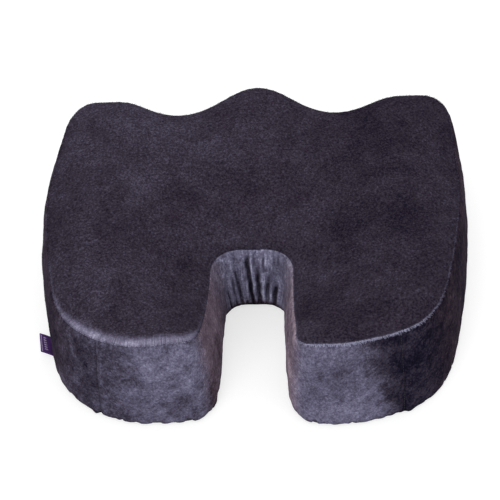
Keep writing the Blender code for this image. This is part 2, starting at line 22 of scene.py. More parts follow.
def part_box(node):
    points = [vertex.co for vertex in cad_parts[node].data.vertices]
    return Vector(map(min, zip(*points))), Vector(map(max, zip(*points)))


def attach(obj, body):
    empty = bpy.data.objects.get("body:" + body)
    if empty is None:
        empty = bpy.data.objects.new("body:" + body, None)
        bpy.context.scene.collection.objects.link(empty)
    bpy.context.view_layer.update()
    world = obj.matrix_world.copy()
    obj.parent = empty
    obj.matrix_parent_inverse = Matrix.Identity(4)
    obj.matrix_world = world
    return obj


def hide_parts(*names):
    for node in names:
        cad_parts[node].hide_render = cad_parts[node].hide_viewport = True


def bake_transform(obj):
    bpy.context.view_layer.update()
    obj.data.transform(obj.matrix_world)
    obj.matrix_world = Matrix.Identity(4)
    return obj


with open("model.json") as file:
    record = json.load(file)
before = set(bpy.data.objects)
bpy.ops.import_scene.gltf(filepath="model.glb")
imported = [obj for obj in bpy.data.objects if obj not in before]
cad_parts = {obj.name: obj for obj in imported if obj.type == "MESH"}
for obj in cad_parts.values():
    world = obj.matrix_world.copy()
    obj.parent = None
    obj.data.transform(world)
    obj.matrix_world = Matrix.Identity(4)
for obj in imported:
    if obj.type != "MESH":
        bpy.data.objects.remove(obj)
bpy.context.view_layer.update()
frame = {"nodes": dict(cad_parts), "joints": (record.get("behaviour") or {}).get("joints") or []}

MM = 0.001
WELD = 0.001 * MM

# The cover's section. The walls lean in by LEAN for each metre of height.
LEAN = 0.09
CLOTH = 1.2 * MM
HEM_Z, HEM_CURL = 0.4 * MM, 4.0 * MM
SEAM_TUCK, SEAM_CURL, SEAM_DROP = 1.8 * MM, 5 * MM, 1.0 * MM
ROLL_REACH, ROLL_RISE = 13 * MM, 5.5 * MM
BAND_BULGE = 2.4 * MM
HEM_BULGE, HEM_BULGE_REACH = 3.0 * MM, 60 * MM
OUTLINE_Z, OUTLINE_POINTS, OUTLINE_SMOOTHING = 40 * MM, 1600, 3 * MM
# How far the top fills out the left and right corners of the cut-out's mouth.
MOUTH_CORNER_FILL, MOUTH_CORNER_REACH = (3.5 * MM, 5 * MM), 16 * MM

# How the filled cover has settled: place, direction out, amount and reach of each bulge, in millimetres.
NARROWING = 0.991
SETTLING = (
    ((195, -135), (0.80, -0.60), 4.8, 60),
    ((-195, -135), (-0.80, -0.60), 5.4, 60),
    ((170, 175), (0.25, 0.97), 3.0, 60),
    ((-170, 175), (-0.25, 0.97), 1.0, 60),
    ((222, 30), (1, 0), -4.6, 90),
    ((-222, 30), (-1, 0), -1.4, 90),
    ((8, 165), (0, 1), 5.0, 60),
    ((200, 160), (0.80, 0.60), 3.0, 40),
    ((75, -185), (0, -1), 5.0, 45),
    ((180, -165), (0.70, -0.70), 2.5, 40),
    ((-110, -185), (0, -1), 3.0, 40),
    ((-48, -165), (1, 0), 4.0, 45),
    ((0, -30), (0, -1), 4.0, 30),
)
# Where the filling pushes the top up: place, height and reach across and along, in millimetres.
RISES = (
    ((110, -165), 4.5, 105, 60),
    ((45, -165), 10.0, 40, 45),
    ((190, -115), 6.0, 45, 60),
    ((-38, -165), 15.0, 32, 45),
    ((-75, -170), 5.0, 30, 60),
)

# Mesh spacing before subdivision.
STEP, GATHER_STEP = 7 * MM, 2.5 * MM
GATHER_HALF = 60 * MM
LOW_ROWS = (0.0, 1.0 * MM, 2.4 * MM, 4.6 * MM)
HIGH_ROWS = (7 * MM, 3.6 * MM, 1.5 * MM, 0.0)
MIDDLE_ROWS = 9
BAND_ROWS = len(LOW_ROWS) + MIDDLE_ROWS + len(HIGH_ROWS) - 1
TOP_RINGS = (0.7 * MM, 2 * MM, 4 * MM, 7 * MM, 11 * MM, 16 * MM)
TOP_GRID, BASE_GRID = 10 * MM, 22 * MM

# Inside the cover: how far the liner and the foam sit in from the outline, and below the top panel.
LINER_INSET, LINER_DROP, LINER_CLOTH = 6 * MM, 1.5 * MM, 0.6 * MM
FOAM_INSET, FOAM_DROP = 7.2 * MM, 2.6 * MM
GATHER_ROOM, GATHER_ROOM_REACH = 3 * MM, 55 * MM
# The inside follows the base's hollow over the zip, this much more deeply, to leave room for the slider.
ZIP_ROOM = 1.45
# Rows as shares of the height, extra insets of the edges, and spacing and clearance of the grids.
INNER_ROWS, INNER_BASE_EDGE, INNER_TOP_EDGE = (0.03, 0.3, 0.65, 0.95), 2 * MM, 4 * MM
INNER_TOP_GRID, INNER_BASE_GRID = (16 * MM, 9 * MM), (12 * MM, 7 * MM)
FOAM_BASE_GAP, LINER_BASE_GAP, LINER_SEAM_Z = 5.2 * MM, 3.4 * MM, 4.6 * MM
ELASTIC_HALF, ELASTIC_Z, ELASTIC_WIDTH, ELASTIC_THICKNESS = 60 * MM, 6 * MM, 8 * MM, 0.8 * MM

# The grip base, its rubber dots and the sewing.
BASE_INSET, BASE_CLOTH, BASE_RISE = 3.6 * MM, 1.3 * MM, 0.75 * MM
BASE_STEP = 6 * MM
BASE_JOIN_GAP, OPENING_TO_STITCH, ROOM_PAST_TACK, ZIP_MARGIN = 0.3 * MM, 2.5 * MM, 1 * MM, 13 * MM
DOT_PITCH, DOT_RADIUS, DOT_HEIGHT = 9 * MM, 1.9 * MM, 0.7 * MM
STITCH_PITCH, STITCH_LENGTH, STITCH_RADIUS = 3.4 * MM, 2.5 * MM, 0.22 * MM
TOP_STITCH_INSET, BASE_STITCH_INSET, BAND_STITCH_INSET = 0.4 * MM, 1.4 * MM, 1.4 * MM
STITCH_PRESS = 0.1 * MM
COIL_PITCH, COIL_TURN_POINTS, COIL_WIRE = 1.6 * MM, 12, 0.33 * MM

# The folded side label: how far it is turned and tilted, how much further one end of its fold stands
# out, and how far it reaches in to its sewing.
LABEL_ASKEW, LABEL_TILT, LABEL_SKEW = -19, 32, 0.3
LABEL_LENGTH, LABEL_REACH, LABEL_ROOT = 28 * MM, 12.5 * MM, 3 * MM
LABEL_PLY, LABEL_FOLD = 0.35 * MM, 0.45 * MM
LABEL_THREAD, LABEL_THREAD_PITCH = 0.3 * MM, 0.5 * MM

# Unevenness of the cloth: height and lump size of each wave.
BAND_WAVES = ((1.6 * MM, 55 * MM), (0.7 * MM, 17 * MM))
TOP_WAVES = ((0.9 * MM, 70 * MM), (0.35 * MM, 24 * MM))
NAP, BAND_NAP_SIZE, TOP_NAP_SIZE = 0.2 * MM, 2.6 * MM, 3.4 * MM
PUCKER, PUCKER_SIZE = 0.6 * MM, 6 * MM
BASE_WAVE, BASE_WAVE_SIZE, BASE_PINCH = 0.25 * MM, 20 * MM, 0.9 * MM
BAND_SEAM_GROOVE, BAND_SEAM_GROOVE_REACH, BAND_SEAM_STEP = 1.5 * MM, 2.4 * MM, 2.2 * MM

# Tufts of pile along the top seam.
PILE_GAP, PILE_RADIUS, PILE_SEED = 1.3 * MM, 0.22 * MM, 11

# Inflation of the cover by cloth simulation.
PRESSURE, FRAMES, SWELL_LIMIT = 4.0, 20, 8 * MM

# Pleats where the elastic draws the hem in at the closed end of the cut-out: place at the top seam and
# at the hem, half width and depth in millimetres, then the shares of the height they start and stop at.
PLEATS = (
    (-38, -36, 0.9, 1.0, 0.55, 0.88),
    (-29.5, -28, 1.1, 2.2, 0.04, 0.48),
    (-24.5, -21, 0.9, 1.4, 0.06, 0.66),
    (-21.5, -14, 1.4, 2.8, 0.10, 0.74),
    (-8, -2, 1.9, 3.8, 0.10, 0.97),
    (0, -0.5, 0.9, 1.3, 0.74, 0.97),
    (3.5, 4, 2.1, 3.6, 0.12, 0.74),
    (9, 8.5, 1.0, 1.8, 0.72, 0.97),
    (16, 12, 1.9, 3.2, 0.16, 0.60),
    (25.5, 19.5, 1.8, 3.2, 0.06, 0.50),
    (32, 33, 1.0, 1.0, 0.30, 0.75),
)

# The tone of the pile as sRGB, from dark to light, and how its strokes are turned. Dark is pile brushed down
# and painted shade, light is pile brushed up and painted light.
VELOUR_TONES = (
    (0.00, (13, 11, 22)),
    (0.10, (23, 20, 35)),
    (0.20, (38, 33, 44)),
    (0.35, (55, 50, 63)),
    (0.55, (84, 81, 101)),
    (0.75, (114, 112, 135)),
    (1.00, (172, 172, 198)),
)
STROKE_SLANT = 45

# The camera, in degrees and metres, with its sensor and lens in millimetres, and the floor.
AZIMUTH, ELEVATION, ROLL = 4.9, 46.6, 4.3
CAMERA_DISTANCE, CAMERA_TARGET = 1.87, (0, 15 * MM, 40 * MM)
SENSOR, LENS, SHIFT = 36, 131, (-0.0115, -0.0105)
FLOOR_HALF, FLOOR_Z = 6.0, -0.3 * MM


# ---- Reading the frame ----


def slice_loop(node, height):
    """The outline of a CAD node cut at that height, as ordered points."""
    bm = bmesh.new()
    bm.from_mesh(frame["nodes"][node].data)
    bmesh.ops.remove_doubles(bm, verts=bm.verts, dist=WELD)
    everything = bm.verts[:] + bm.edges[:] + bm.faces[:]
    cut = bmesh.ops.bisect_plane(bm, geom=everything, plane_co=(0, 0, height), plane_no=(0, 0, 1))
    links = {}
    for edge in (e for e in cut["geom_cut"] if isinstance(e, bmesh.types.BMEdge)):
        for vert in edge.verts:
            links.setdefault(vert, []).append(edge.other_vert(vert))
    start = here = next(iter(links))
    before, loop = None, []
    while here is not start or not loop:
        loop.append(here)
        ahead = [v for v in links[here] if v is not before]
        before, here = here, ahead[0]
    points = np.array([v.co[:2] for v in loop])
    bm.free()
    return points


def even_loop(points, count, spread):
    """The closed loop as evenly spaced points, anticlockwise, smoothed over that spread."""
    ahead = np.roll(points, -1, axis=0)
    area = np.sum(points[:, 0] * ahead[:, 1] - ahead[:, 0] * points[:, 1])
    if area < 0:
        points = points[::-1]
    closed = np.vstack([points, points[:1]])
    lengths = np.concatenate([[0.0], np.cumsum(np.linalg.norm(np.diff(closed, axis=0), axis=1))])
    wanted = np.linspace(0.0, lengths[-1], count, endpoint=False)
    even = np.stack([np.interp(wanted, lengths, closed[:, k]) for k in (0, 1)], axis=1)
    waves = np.fft.fftfreq(count, d=lengths[-1] / count)
    damp = np.exp(-2 * (math.pi * waves * spread) ** 2)[:, None]
    return np.real(np.fft.ifft(np.fft.fft(even, axis=0) * damp, axis=0))


def settled(points):
    """The outline's points where the filled cover really sits."""
    moved = points * (NARROWING, 1.0)
    for place, direction, amount, reach in SETTLING:
        near = np.exp(-np.sum(((points - np.array(place) * MM) / (reach * MM)) ** 2, axis=1))
        moved += near[:, None] * np.array(direction) * amount * MM
    return moved


def inward_of(loop):
    """The unit direction inwards at each point of an anticlockwise loop."""
    along = np.roll(loop, -1, axis=0) - np.roll(loop, 1, axis=0)
    along /= np.linalg.norm(along, axis=1)[:, None]
    return np.stack([-along[:, 1], along[:, 0]], axis=1)


class Outline:
    """The cover's outline on the floor: the foam's, grown to the base panel's width and settled."""

    def __init__(self):
        loop = even_loop(slice_loop("foam_core", OUTLINE_Z), OUTLINE_POINTS, OUTLINE_SMOOTHING)
        base_low, base_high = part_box("base_rear_panel")
        grow = (base_high.x - base_low.x) / 2 - np.ptp(loop[:, 0]) / 2
        loop = settled(loop - inward_of(loop) * grow)
        at_end = np.where((abs(loop[:, 0]) < 3 * MM) & (loop[:, 1] < 50 * MM))[0]
        first = at_end[abs(loop[at_end, 0]).argmin()]
        self.points = np.roll(loop, -first, axis=0)
        steps = np.linalg.norm(np.roll(self.points, -1, axis=0) - self.points, axis=1)
        self.length = steps.sum()
        self.at = np.concatenate([[0.0], np.cumsum(steps)[:-1]])
        self.inward = inward_of(self.points)
        self.tree = KDTree(len(self.points))
        for i, (x, y) in enumerate(self.points):
            self.tree.insert((x, y, 0), i)
        self.tree.balance()

    def place(self, s, inset=0.0):
        """Points at lengths s, moved in by inset."""
        columns = (*self.points.T, *self.inward.T)
        x, y, nx, ny = (np.interp(s, self.at, column, period=self.length) for column in columns)
        size = np.hypot(nx, ny)
        return np.stack([x + nx / size * inset, y + ny / size * inset], axis=-1)

    def locate(self, points):
        """s, depth and the outward direction at the outline's point nearest each of the points."""
        nearest = np.array([self.tree.find((p[0], p[1], 0))[1] for p in points])
        inward = self.inward[nearest]
        offset = points[:, :2] - self.points[nearest]
        s = self.at[nearest] + offset[:, 0] * inward[:, 1] - offset[:, 1] * inward[:, 0]
        s = np.where(s > self.length / 2, s - self.length, s)
        return s, np.sum(offset * inward, axis=1), -inward


def cad_tree(*nodes):
    """The CAD nodes' faces together, to find points on."""
    verts, faces = [], []
    for node in nodes:
        mesh = frame["nodes"][node].data
        faces += [[len(verts) + i for i in p.vertices] for p in mesh.polygons]
        verts += [v.co.copy() for v in mesh.vertices]
    return BVHTree.FromPolygons(verts, faces)


def height_field(node):
    """The CAD node's upper face as a smooth height at each point, from cubic radial basis functions."""
    tree = cad_tree(node)
    low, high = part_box(node)
    spacing, softness = 23 * MM, 1e-7
    hits = []
    for x in np.arange(round(low.x / spacing), high.x / spacing + 1) * spacing:
        for y in np.arange(round(low.y / spacing), high.y / spacing + 1) * spacing:
            hit = tree.ray_cast(Vector((x, y, 1.0)), Vector((0, 0, -1)))[0]
            if hit is not None:
                hits.append(tuple(hit))
    hits = np.array(hits)
    count = len(hits)

    def basis(x, y):
        distance = np.hypot(x[:, None] - hits[:, 0], y[:, None] - hits[:, 1])
        return np.hstack([distance**3, np.ones((len(x), 1)), x[:, None], y[:, None]])

    upper = basis(hits[:, 0], hits[:, 1])
    upper[:, :count] -= np.eye(count) * softness
    lower = np.hstack([upper[:, count:].T, np.zeros((3, 3))])
    weights = np.linalg.solve(np.vstack([upper, lower]), np.concatenate([hits[:, 2], np.zeros(3)]))

    def height(points):
        x, y = points[:, 0], points[:, 1]
        z = basis(x, y) @ weights
        for place, rise, across, along in RISES:
            spread = (x / MM - place[0]) ** 2 / across**2 + (y / MM - place[1]) ** 2 / along**2
            z += rise * MM * np.exp(-spread)
        return z

    return height


def under_face(*nodes):
    """The CAD nodes' lower face as a height at each point, read from below."""
    tree = cad_tree(*nodes)

    def read(x, y):
        return tree.ray_cast(Vector((x, y, -0.1)), Vector((0, 0, 1)))[0]

    def height(points):
        found = []
        for x, y in points:
            hit = read(x, y)
            if hit is None:
                near = tree.find_nearest(Vector((x, y, 0)))[0]
                towards = Vector((near.x - x, near.y - y))
                inside = Vector((x, y)) + towards + towards.normalized() * 0.3 * MM
                hit = read(*inside) or near
            found.append(max(hit.z, 0.0))
        return np.array(found)

    return height


OUTLINE = Outline()
TOP = height_field("cover_top_panel")
UNDER = under_face("base_rear_panel", "base_front_panel")
HALF_WAY = OUTLINE.length / 2


def thread_length(node):
    """s at the middle of a CAD thread."""
    low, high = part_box(node)
    return OUTLINE.locate(np.array([[(low.x + high.x) / 2, (low.y + high.y) / 2]]))[0][0]


BAND_SEAM = (thread_length("right_band_seam_thread") - thread_length("left_band_seam_thread")) / 2


def mouth_corner(side):
    """s at a corner of the cut-out's mouth, where the outline faces both the side and the rear."""
    near = abs(OUTLINE.points[:, 0] - side * 45 * MM) + (OUTLINE.points[:, 1] > -130 * MM)
    at = OUTLINE.at[near.argmin()]
    return at if side > 0 else at - OUTLINE.length


MOUTH_CORNER = (mouth_corner(-1), mouth_corner(1))


# ---- Numbers over a mesh ----


def smoothstep(x, low, high):
    t = np.clip((x - low) / (high - low), 0.0, 1.0)
    return t * t * (3 - 2 * t)


def bell(x, width):
    return np.exp(-((x / width) ** 2))


def wander(points, size, octaves=2):
    """Smooth noise from about -1 to 1 at each point, with lumps of that size."""
    return np.array([noise.fractal(Vector(p) / size, 1.0, 2.0, octaves) for p in points])


def wander_along(s, size, row=0.0):
    """The same along the outline."""
    return wander(np.column_stack([s, np.full(len(s), row * size), np.zeros(len(s))]), size)


def read_vectors(mesh, name):
    """Each vertex's co or normal."""
    values = np.zeros(len(mesh.vertices) * 3, np.float32)
    mesh.vertices.foreach_get(name, values)
    return values.reshape(-1, 3).astype(float)


def write_points(mesh, points):
    mesh.vertices.foreach_set("co", np.ravel(points).astype(np.float32))
    mesh.update()


def write_values(mesh, name, values):
    made = mesh.attributes.new(name, "FLOAT", "POINT")
    made.data.foreach_set("value", values.astype(np.float32))


# ---- Mesh helpers ----


def link(obj):
    bpy.context.scene.collection.objects.link(obj)
    return obj


def mesh_object(name, verts, faces):
    mesh = bpy.data.meshes.new(name)
    mesh.from_pydata([tuple(v) for v in verts], [], [tuple(int(i) for i in f) for f in faces])
    mesh.validate()
    mesh.update()
    return link(bpy.data.objects.new(name, mesh))


def bm_object(name, bm):
    """An edit mesh as an object."""
    mesh = bpy.data.meshes.new(name)
    bm.to_mesh(mesh)
    bm.free()
    return link(bpy.data.objects.new(name, mesh))


def evaluated(obj):
    """The object's mesh with its modifiers, or its curve as a mesh."""
    bpy.context.view_layer.update()
    graph = bpy.context.evaluated_depsgraph_get()
    return bpy.data.meshes.new_from_object(obj.evaluated_get(graph))


def applied(obj):
    """Applies all of obj's modifiers."""
    mesh = evaluated(obj)
    obj.modifiers.clear()
    obj.data = mesh
    return obj


def subdivided(obj, level):
    smooth = obj.modifiers.new("smooth", "SUBSURF")
    smooth.levels = smooth.render_levels = level
    smooth.boundary_smooth = "PRESERVE_CORNERS"
    return applied(obj)


def thickened(obj, thickness):
    """Gives a sheet its thickness, inwards from its outer face."""
    shell = obj.modifiers.new("shell", "SOLIDIFY")
    shell.thickness = thickness
    shell.offset = -1
    return applied(obj)


def finished(obj, material, body, slot, *nodes):
    """Gives a piece its material, the body it rides on, if any, and the CAD nodes it stands for."""
    obj.data.materials.clear()
    obj.data.materials.append(material)
    obj.data.shade_smooth()
    if body:
        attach(obj, body)
    if nodes:
        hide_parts(*nodes)
    return obj


def filled(ring, grid_step, clearance):
    """Points and faces that fill a closed polygon with a triangulated grid. The ring comes first."""
    count = len(ring)
    low, high = ring.min(0), ring.max(0)
    inside = []
    ahead = np.roll(ring, -1, axis=0)
    for x in np.arange(math.ceil(low[0] / grid_step), high[0] / grid_step) * grid_step:
        for y in np.arange(math.ceil(low[1] / grid_step), high[1] / grid_step) * grid_step:
            crossing = (ring[:, 1] > y) != (ahead[:, 1] > y)
            rise = np.where(crossing, ahead[:, 1] - ring[:, 1], 1.0)
            x_at = ring[:, 0] + (y - ring[:, 1]) / rise * (ahead[:, 0] - ring[:, 0])
            odd = np.count_nonzero(crossing & (x < x_at)) % 2
            if odd and np.hypot(*(ring - (x, y)).T).min() > clearance:
                inside.append((x, y))
    points = [Vector(p) for p in ring] + [Vector(p) for p in inside]
    edges = [(i, (i + 1) % count) for i in range(count)]
    out = delaunay_2d_cdt(points, edges, [], 1, 1e-7)
    source = [origin[0] for origin in out[3]]
    faces = [[int(source[i]) for i in face] for face in out[2]]
    return np.array([p[:] for p in points]), faces


def rods(name, starts, ends, radius, profile, sides=6):
    """Short closed rods as one mesh. The profile lists share of length and share of radius."""
    starts, ends = np.asarray(starts, float), np.asarray(ends, float)
    axis = ends - starts
    across = np.cross(axis, (0.13, 0.31, 0.94))
    across /= np.linalg.norm(across, axis=1)[:, None]
    other = np.cross(axis, across)
    other /= np.linalg.norm(other, axis=1)[:, None]
    radius = np.broadcast_to(radius, len(starts))[:, None]
    rings = []
    for share, size in profile:
        for k in range(sides):
            angle = 2 * math.pi * k / sides
            rim = across * math.cos(angle) + other * math.sin(angle)
            rings.append(starts + axis * share + rim * radius * size)
    verts = np.stack(rings, axis=1).reshape(-1, 3)
    pattern = []
    for ring in range(len(profile) - 1):
        low, high = ring * sides, (ring + 1) * sides
        for k in range(sides):
            after = (k + 1) % sides
            pattern.append((low + k, low + after, high + after, high + k))
    pattern.append(tuple(reversed(range(sides))))
    pattern.append(tuple(range((len(profile) - 1) * sides, len(profile) * sides)))
    size = len(profile) * sides
    faces = [[size * rod + i for i in face] for rod in range(len(starts)) for face in pattern]
    return mesh_object(name, verts, faces)


STITCH_PROFILE = ((0, 0.35), (0.12, 0.85), (0.5, 1.0), (0.88, 0.85), (1, 0.35))


def stitch_row(name, path):
    """A row of stitches along a path of points."""
    path = np.asarray(path)
    lengths = np.concatenate([[0.0], np.cumsum(np.linalg.norm(np.diff(path, axis=0), axis=1))])
    begins = np.arange(0.0, lengths[-1] - STITCH_LENGTH, STITCH_PITCH)

    def at(where):
        return np.stack([np.interp(where, lengths, path[:, k]) for k in range(3)], axis=1)

    return rods(name, at(begins), at(begins + STITCH_LENGTH), STITCH_RADIUS, STITCH_PROFILE)


def sew(name, path, node):
    """A row of the cover's own stitches, in place of a CAD thread."""
    finished(stitch_row(name, path), dark_thread(), "cushion", "thread", node)


def level_path(s, inset, z):
    """Points at lengths s, moved in by inset, at height z."""
    return np.column_stack([OUTLINE.place(s, inset), np.full(len(s), z)])


# ---- The cover as one inflated skin ----


def stations():
    """Lengths of the upright mesh lines, from minus half way round to half way, closer at the gathers."""
    half = [0.0]
    for end, step in ((GATHER_HALF, GATHER_STEP), (BAND_SEAM, STEP), (HALF_WAY, STEP)):
        count = max(1, round((end - half[-1]) / step))
        half += list(np.linspace(half[-1], end, count + 1)[1:])
    return np.array([-s for s in reversed(half[1:])] + half[:-1])


def roll(depth):
    """How far the top panel stands above its seam, at a distance in from it."""
    t = np.clip(1 - depth / ROLL_REACH, 0.0, 1.0)
    return ROLL_RISE * np.sqrt(1 - t * t)


def seam_height(s):
    """Height of the top seam round the cover."""
    return TOP(OUTLINE.place(s, LEAN * 0.1)) - SEAM_DROP


def top_corner(s):
    """How far the top stands out at the corners of the cut-out's mouth, where it is less rounded."""
    right = MOUTH_CORNER_FILL[1] * bell(s - MOUTH_CORNER[1], MOUTH_CORNER_REACH)
    return right + MOUTH_CORNER_FILL[0] * bell(s - MOUTH_CORNER[0], MOUTH_CORNER_REACH)


def band_inset(s, z, top_z):
    """How far the band is inside the floor outline."""
    t = (z - HEM_Z) / (top_z - HEM_Z)
    corner = top_corner(s) * t**2
    low = np.clip(1 - (z - HEM_Z) / HEM_CURL, 0.0, 1.0)
    high = np.clip(1 - (top_z - z) / SEAM_CURL, 0.0, 1.0)
    curl = HEM_CURL * (1 - np.sqrt(1 - low**2)) + SEAM_TUCK * high**2
    bulge = BAND_BULGE * 4 * t * (1 - t) + HEM_BULGE * bell(s, HEM_BULGE_REACH) * (1 - t) ** 2
    return LEAN * z + curl - bulge - corner


class Loft:
    """Rings of points at lengths s round the outline, with a filled middle above and one below."""

    def __init__(self, s, rings, top_grid, top_height, base_grid, base_height):
        """A grid is a spacing and the least distance to the ring. Heights are functions of points."""
        self.s, self.count, self.rings = s, len(s), len(rings)
        top, self.top_faces = filled(rings[-1][:, :2], *top_grid)
        base, self.base_faces = filled(rings[0][:, :2], *base_grid)
        top, base = top[self.count :], base[self.count :]
        middles = [np.column_stack([top, top_height(top)]), np.column_stack([base, base_height(base)])]
        self.points = np.vstack([*rings, *middles])
        self.top_start = self.rings * self.count
        self.base_start = self.top_start + len(top)

    def index(self, ring, station):
        return ring * self.count + station % self.count

    def strip(self, first_ring, last_ring, first_station, last_station):
        """Faces between two rings and two stations, facing out."""
        faces = []
        for ring in range(first_ring, last_ring):
            for i in range(first_station, last_station):
                low, high = self.index(ring, i), self.index(ring + 1, i)
                low_next, high_next = self.index(ring, i + 1), self.index(ring + 1, i + 1)
                faces.append((low, low_next, high_next, high))
        return faces

    def middle(self, faces, ring, start):
        """A middle's faces with this loft's own point numbers."""
        numbers = [self.index(ring, i) for i in range(self.count)]
        return [[numbers[i] if i < self.count else start + i - self.count for i in face] for face in faces]

    def above(self, ring):
        """Faces from a ring up."""
        top = self.middle(self.top_faces, self.rings - 1, self.top_start)
        return self.strip(ring, self.rings - 1, 0, self.count) + top

    def all(self):
        base = self.middle(self.base_faces, 0, self.base_start)
        return self.above(0) + [face[::-1] for face in base]


def make_skin():
    """The cover before subdivision."""
    s = stations()
    top_z = seam_height(s)
    low_z = [HEM_Z + rise for rise in LOW_ROWS]
    heights = [np.full(len(s), z) for z in low_z]
    for row in range(1, MIDDLE_ROWS + 1):
        heights.append(low_z[-1] + (top_z - HIGH_ROWS[0] - low_z[-1]) * row / (MIDDLE_ROWS + 1))
    heights += [top_z - drop for drop in HIGH_ROWS]
    rings = [np.column_stack([OUTLINE.place(s, band_inset(s, z, top_z)), z]) for z in heights]
    for depth in TOP_RINGS:
        plan = OUTLINE.place(s, LEAN * top_z + SEAM_TUCK + depth - top_corner(s))
        rings.append(np.column_stack([plan, TOP(plan) - SEAM_DROP + roll(depth)]))
    return Loft(
        s,
        rings,
        (TOP_GRID, 0.6 * TOP_GRID),
        lambda points: TOP(points) - SEAM_DROP + ROLL_RISE,
        (BASE_GRID, 0.5 * BASE_GRID),
        lambda points: np.full(len(points), HEM_Z),
    )


def inflate(skin):
    """Swells the skin with cloth pressure between its seams, which are pinned."""
    obj = mesh_object("cover_simulation", skin.points, skin.all())
    pins = obj.vertex_groups.new(name="pins")
    fixed = [*range(skin.count), *range(skin.base_start, len(skin.points))]
    fixed += [skin.index(BAND_ROWS, i) for i in range(skin.count)]
    pins.add(fixed, 1.0, "REPLACE")
    cloth = obj.modifiers.new("cloth", "CLOTH")
    settings = cloth.settings
    settings.quality = 5
    settings.mass = 0.3
    settings.tension_stiffness = settings.compression_stiffness = 12
    settings.shear_stiffness = 4
    settings.bending_stiffness = 1.5
    settings.use_pressure = True
    settings.uniform_pressure_force = PRESSURE
    settings.vertex_group_mass = "pins"
    settings.effector_weights.gravity = 0
    scene = bpy.context.scene
    scene.frame_start, scene.frame_end = 1, FRAMES
    cloth.point_cache.frame_start, cloth.point_cache.frame_end = 1, FRAMES
    for step in range(1, FRAMES + 1):
        scene.frame_set(step)
    applied(obj)
    moved = read_vectors(obj.data, "co") - skin.points
    size = np.linalg.norm(moved, axis=1)
    limit = np.minimum(1.0, SWELL_LIMIT / np.maximum(size, 1e-9))
    skin.points = skin.points + moved * limit[:, None]
    bpy.data.objects.remove(obj)


def panel(name, skin, faces):
    """A piece of the skin as its own object, subdivided."""
    used = sorted({i for face in faces for i in face})
    number = {old: new for new, old in enumerate(used)}
    obj = mesh_object(name, skin.points[used], [[number[i] for i in face] for face in faces])
    return subdivided(obj, 2)


# ---- Fine shape and tone of the cover ----


def pleat_field(s, t):
    """Depth of the pleats and their painted shade, at points of the band: the valleys and the sunken creases
    are painted darker and the ridges lighter.
    """
    depth, shade = np.zeros(len(s)), np.zeros(len(s))
    drift = wander(np.column_stack([s / 3, t * 60 * MM, np.zeros(len(s))]), 12 * MM)
    for top_place, hem_place, width, deep, low, high in PLEATS:
        across = s / MM - (hem_place + (top_place - hem_place) * t) + 0.8 * drift
        ends = smoothstep(t, low - 0.12, low + 0.10) * (1 - smoothstep(t, high - 0.22, high + 0.06))
        valley = bell(across, width) * ends
        ridges = (bell(across - 2.1 * width, width) + bell(across + 2.1 * width, width)) * ends
        depth += deep * MM * (0.35 * ridges - valley)
        # Painted shade: dark in each valley and a little lighter on its ridges.
        shade += deep * (0.115 * np.exp(-((across / width) ** 4)) * ends - 0.02 * ridges)
    wrinkled = bell(s / MM, 42) * smoothstep(t, 0.0, 0.1)
    creases = wander(np.column_stack([s, t * 7 * MM, np.full(len(s), 0.4)]), 3.6 * MM, 3) * wrinkled
    # The fine creases are painted lighter where they stand out and darker where they sink in.
    return depth + 0.9 * MM * creases, shade - 0.13 * creases


def between(share, first, second):
    return first + (second - first) * share


def band_tone(points, s, t, outward, shade):
    """How light each point of a band is painted, from 0 dark to 1 light, and how brown it is. Part is the
    pile's nap, which turns at the band seams, and part is painted light: walls facing the rear, towards the
    key light, are painted lighter and walls facing the sides darker, with the pleats' painted shade, a
    painted highlight along the top of the right lobe's cut-out wall and a painted shadow along the hem.
    """
    x, y = points[:, 0] / MM, points[:, 1] / MM
    right = smoothstep(x, -30, 30)
    # How far a point faces the rear, towards the key light; such walls get the light tone, painted light
    # over the nap.
    rear = smoothstep(-outward[:, 1], 0.25, 0.9)
    ragged = 8 * MM * wander(points, 18 * MM, 3)
    # Past the band seams the tone turns dark: the pile's nap turns there, and the sides are also painted
    # darker as painted shade.
    nap_and_shade_edge = BAND_SEAM - (4 + 22 * t * right) * MM + ragged * right
    past_join = smoothstep(abs(s), nap_and_shade_edge - 22 * MM * right - 1 * MM, nap_and_shade_edge + 10 * MM)
    light = between(right, 0.43 + 0.13 * smoothstep(x, -130, -85), 0.54)
    # A painted highlight along the top of the right lobe's wall at the cut-out.
    edge_highlight = 0.16 * bell(1 - t, 0.06)
    wall = between(right, 0.63 - 0.25 * (1 - t) ** 2, 0.68 + edge_highlight)
    near_cutout = smoothstep(110 - abs(x), 0, 40) * (1 - past_join)
    side = between(near_cutout, between(right, 0.26, 0.17), wall)
    tone = between(rear, side, light)
    dark = between(right, 0.31, 0.13 + 0.05 * (1 - rear))
    tone = between(past_join, tone, np.minimum(tone, dark))
    away = smoothstep(outward[:, 1], 0.1, 0.9)
    tone = between(away, tone + 0.06 * smoothstep(y, -60, 40) * past_join, 0.36)
    closed_end = bell(s / MM, 48)
    # The closed end of the cut-out faces the key light and is painted light.
    tone = between(closed_end * rear, tone, 0.70)
    # A painted shadow along the hem, where the band curls under; at the closed end it is wider, darker and
    # browned.
    hem = bell(t, 0.04 + 0.07 * closed_end)
    warm = near_cutout * (1 - closed_end) + (0.5 + 0.3 * right) * smoothstep(abs(x), 40, 120)
    warm = warm * (1 - rear) * (1 - 0.7 * away) + hem * closed_end
    # Take off the pleats' painted shade and the hem's painted shadow.
    tone -= shade + hem * (0.24 + 0.42 * closed_end)
    return tone, np.clip(warm, 0, 1)


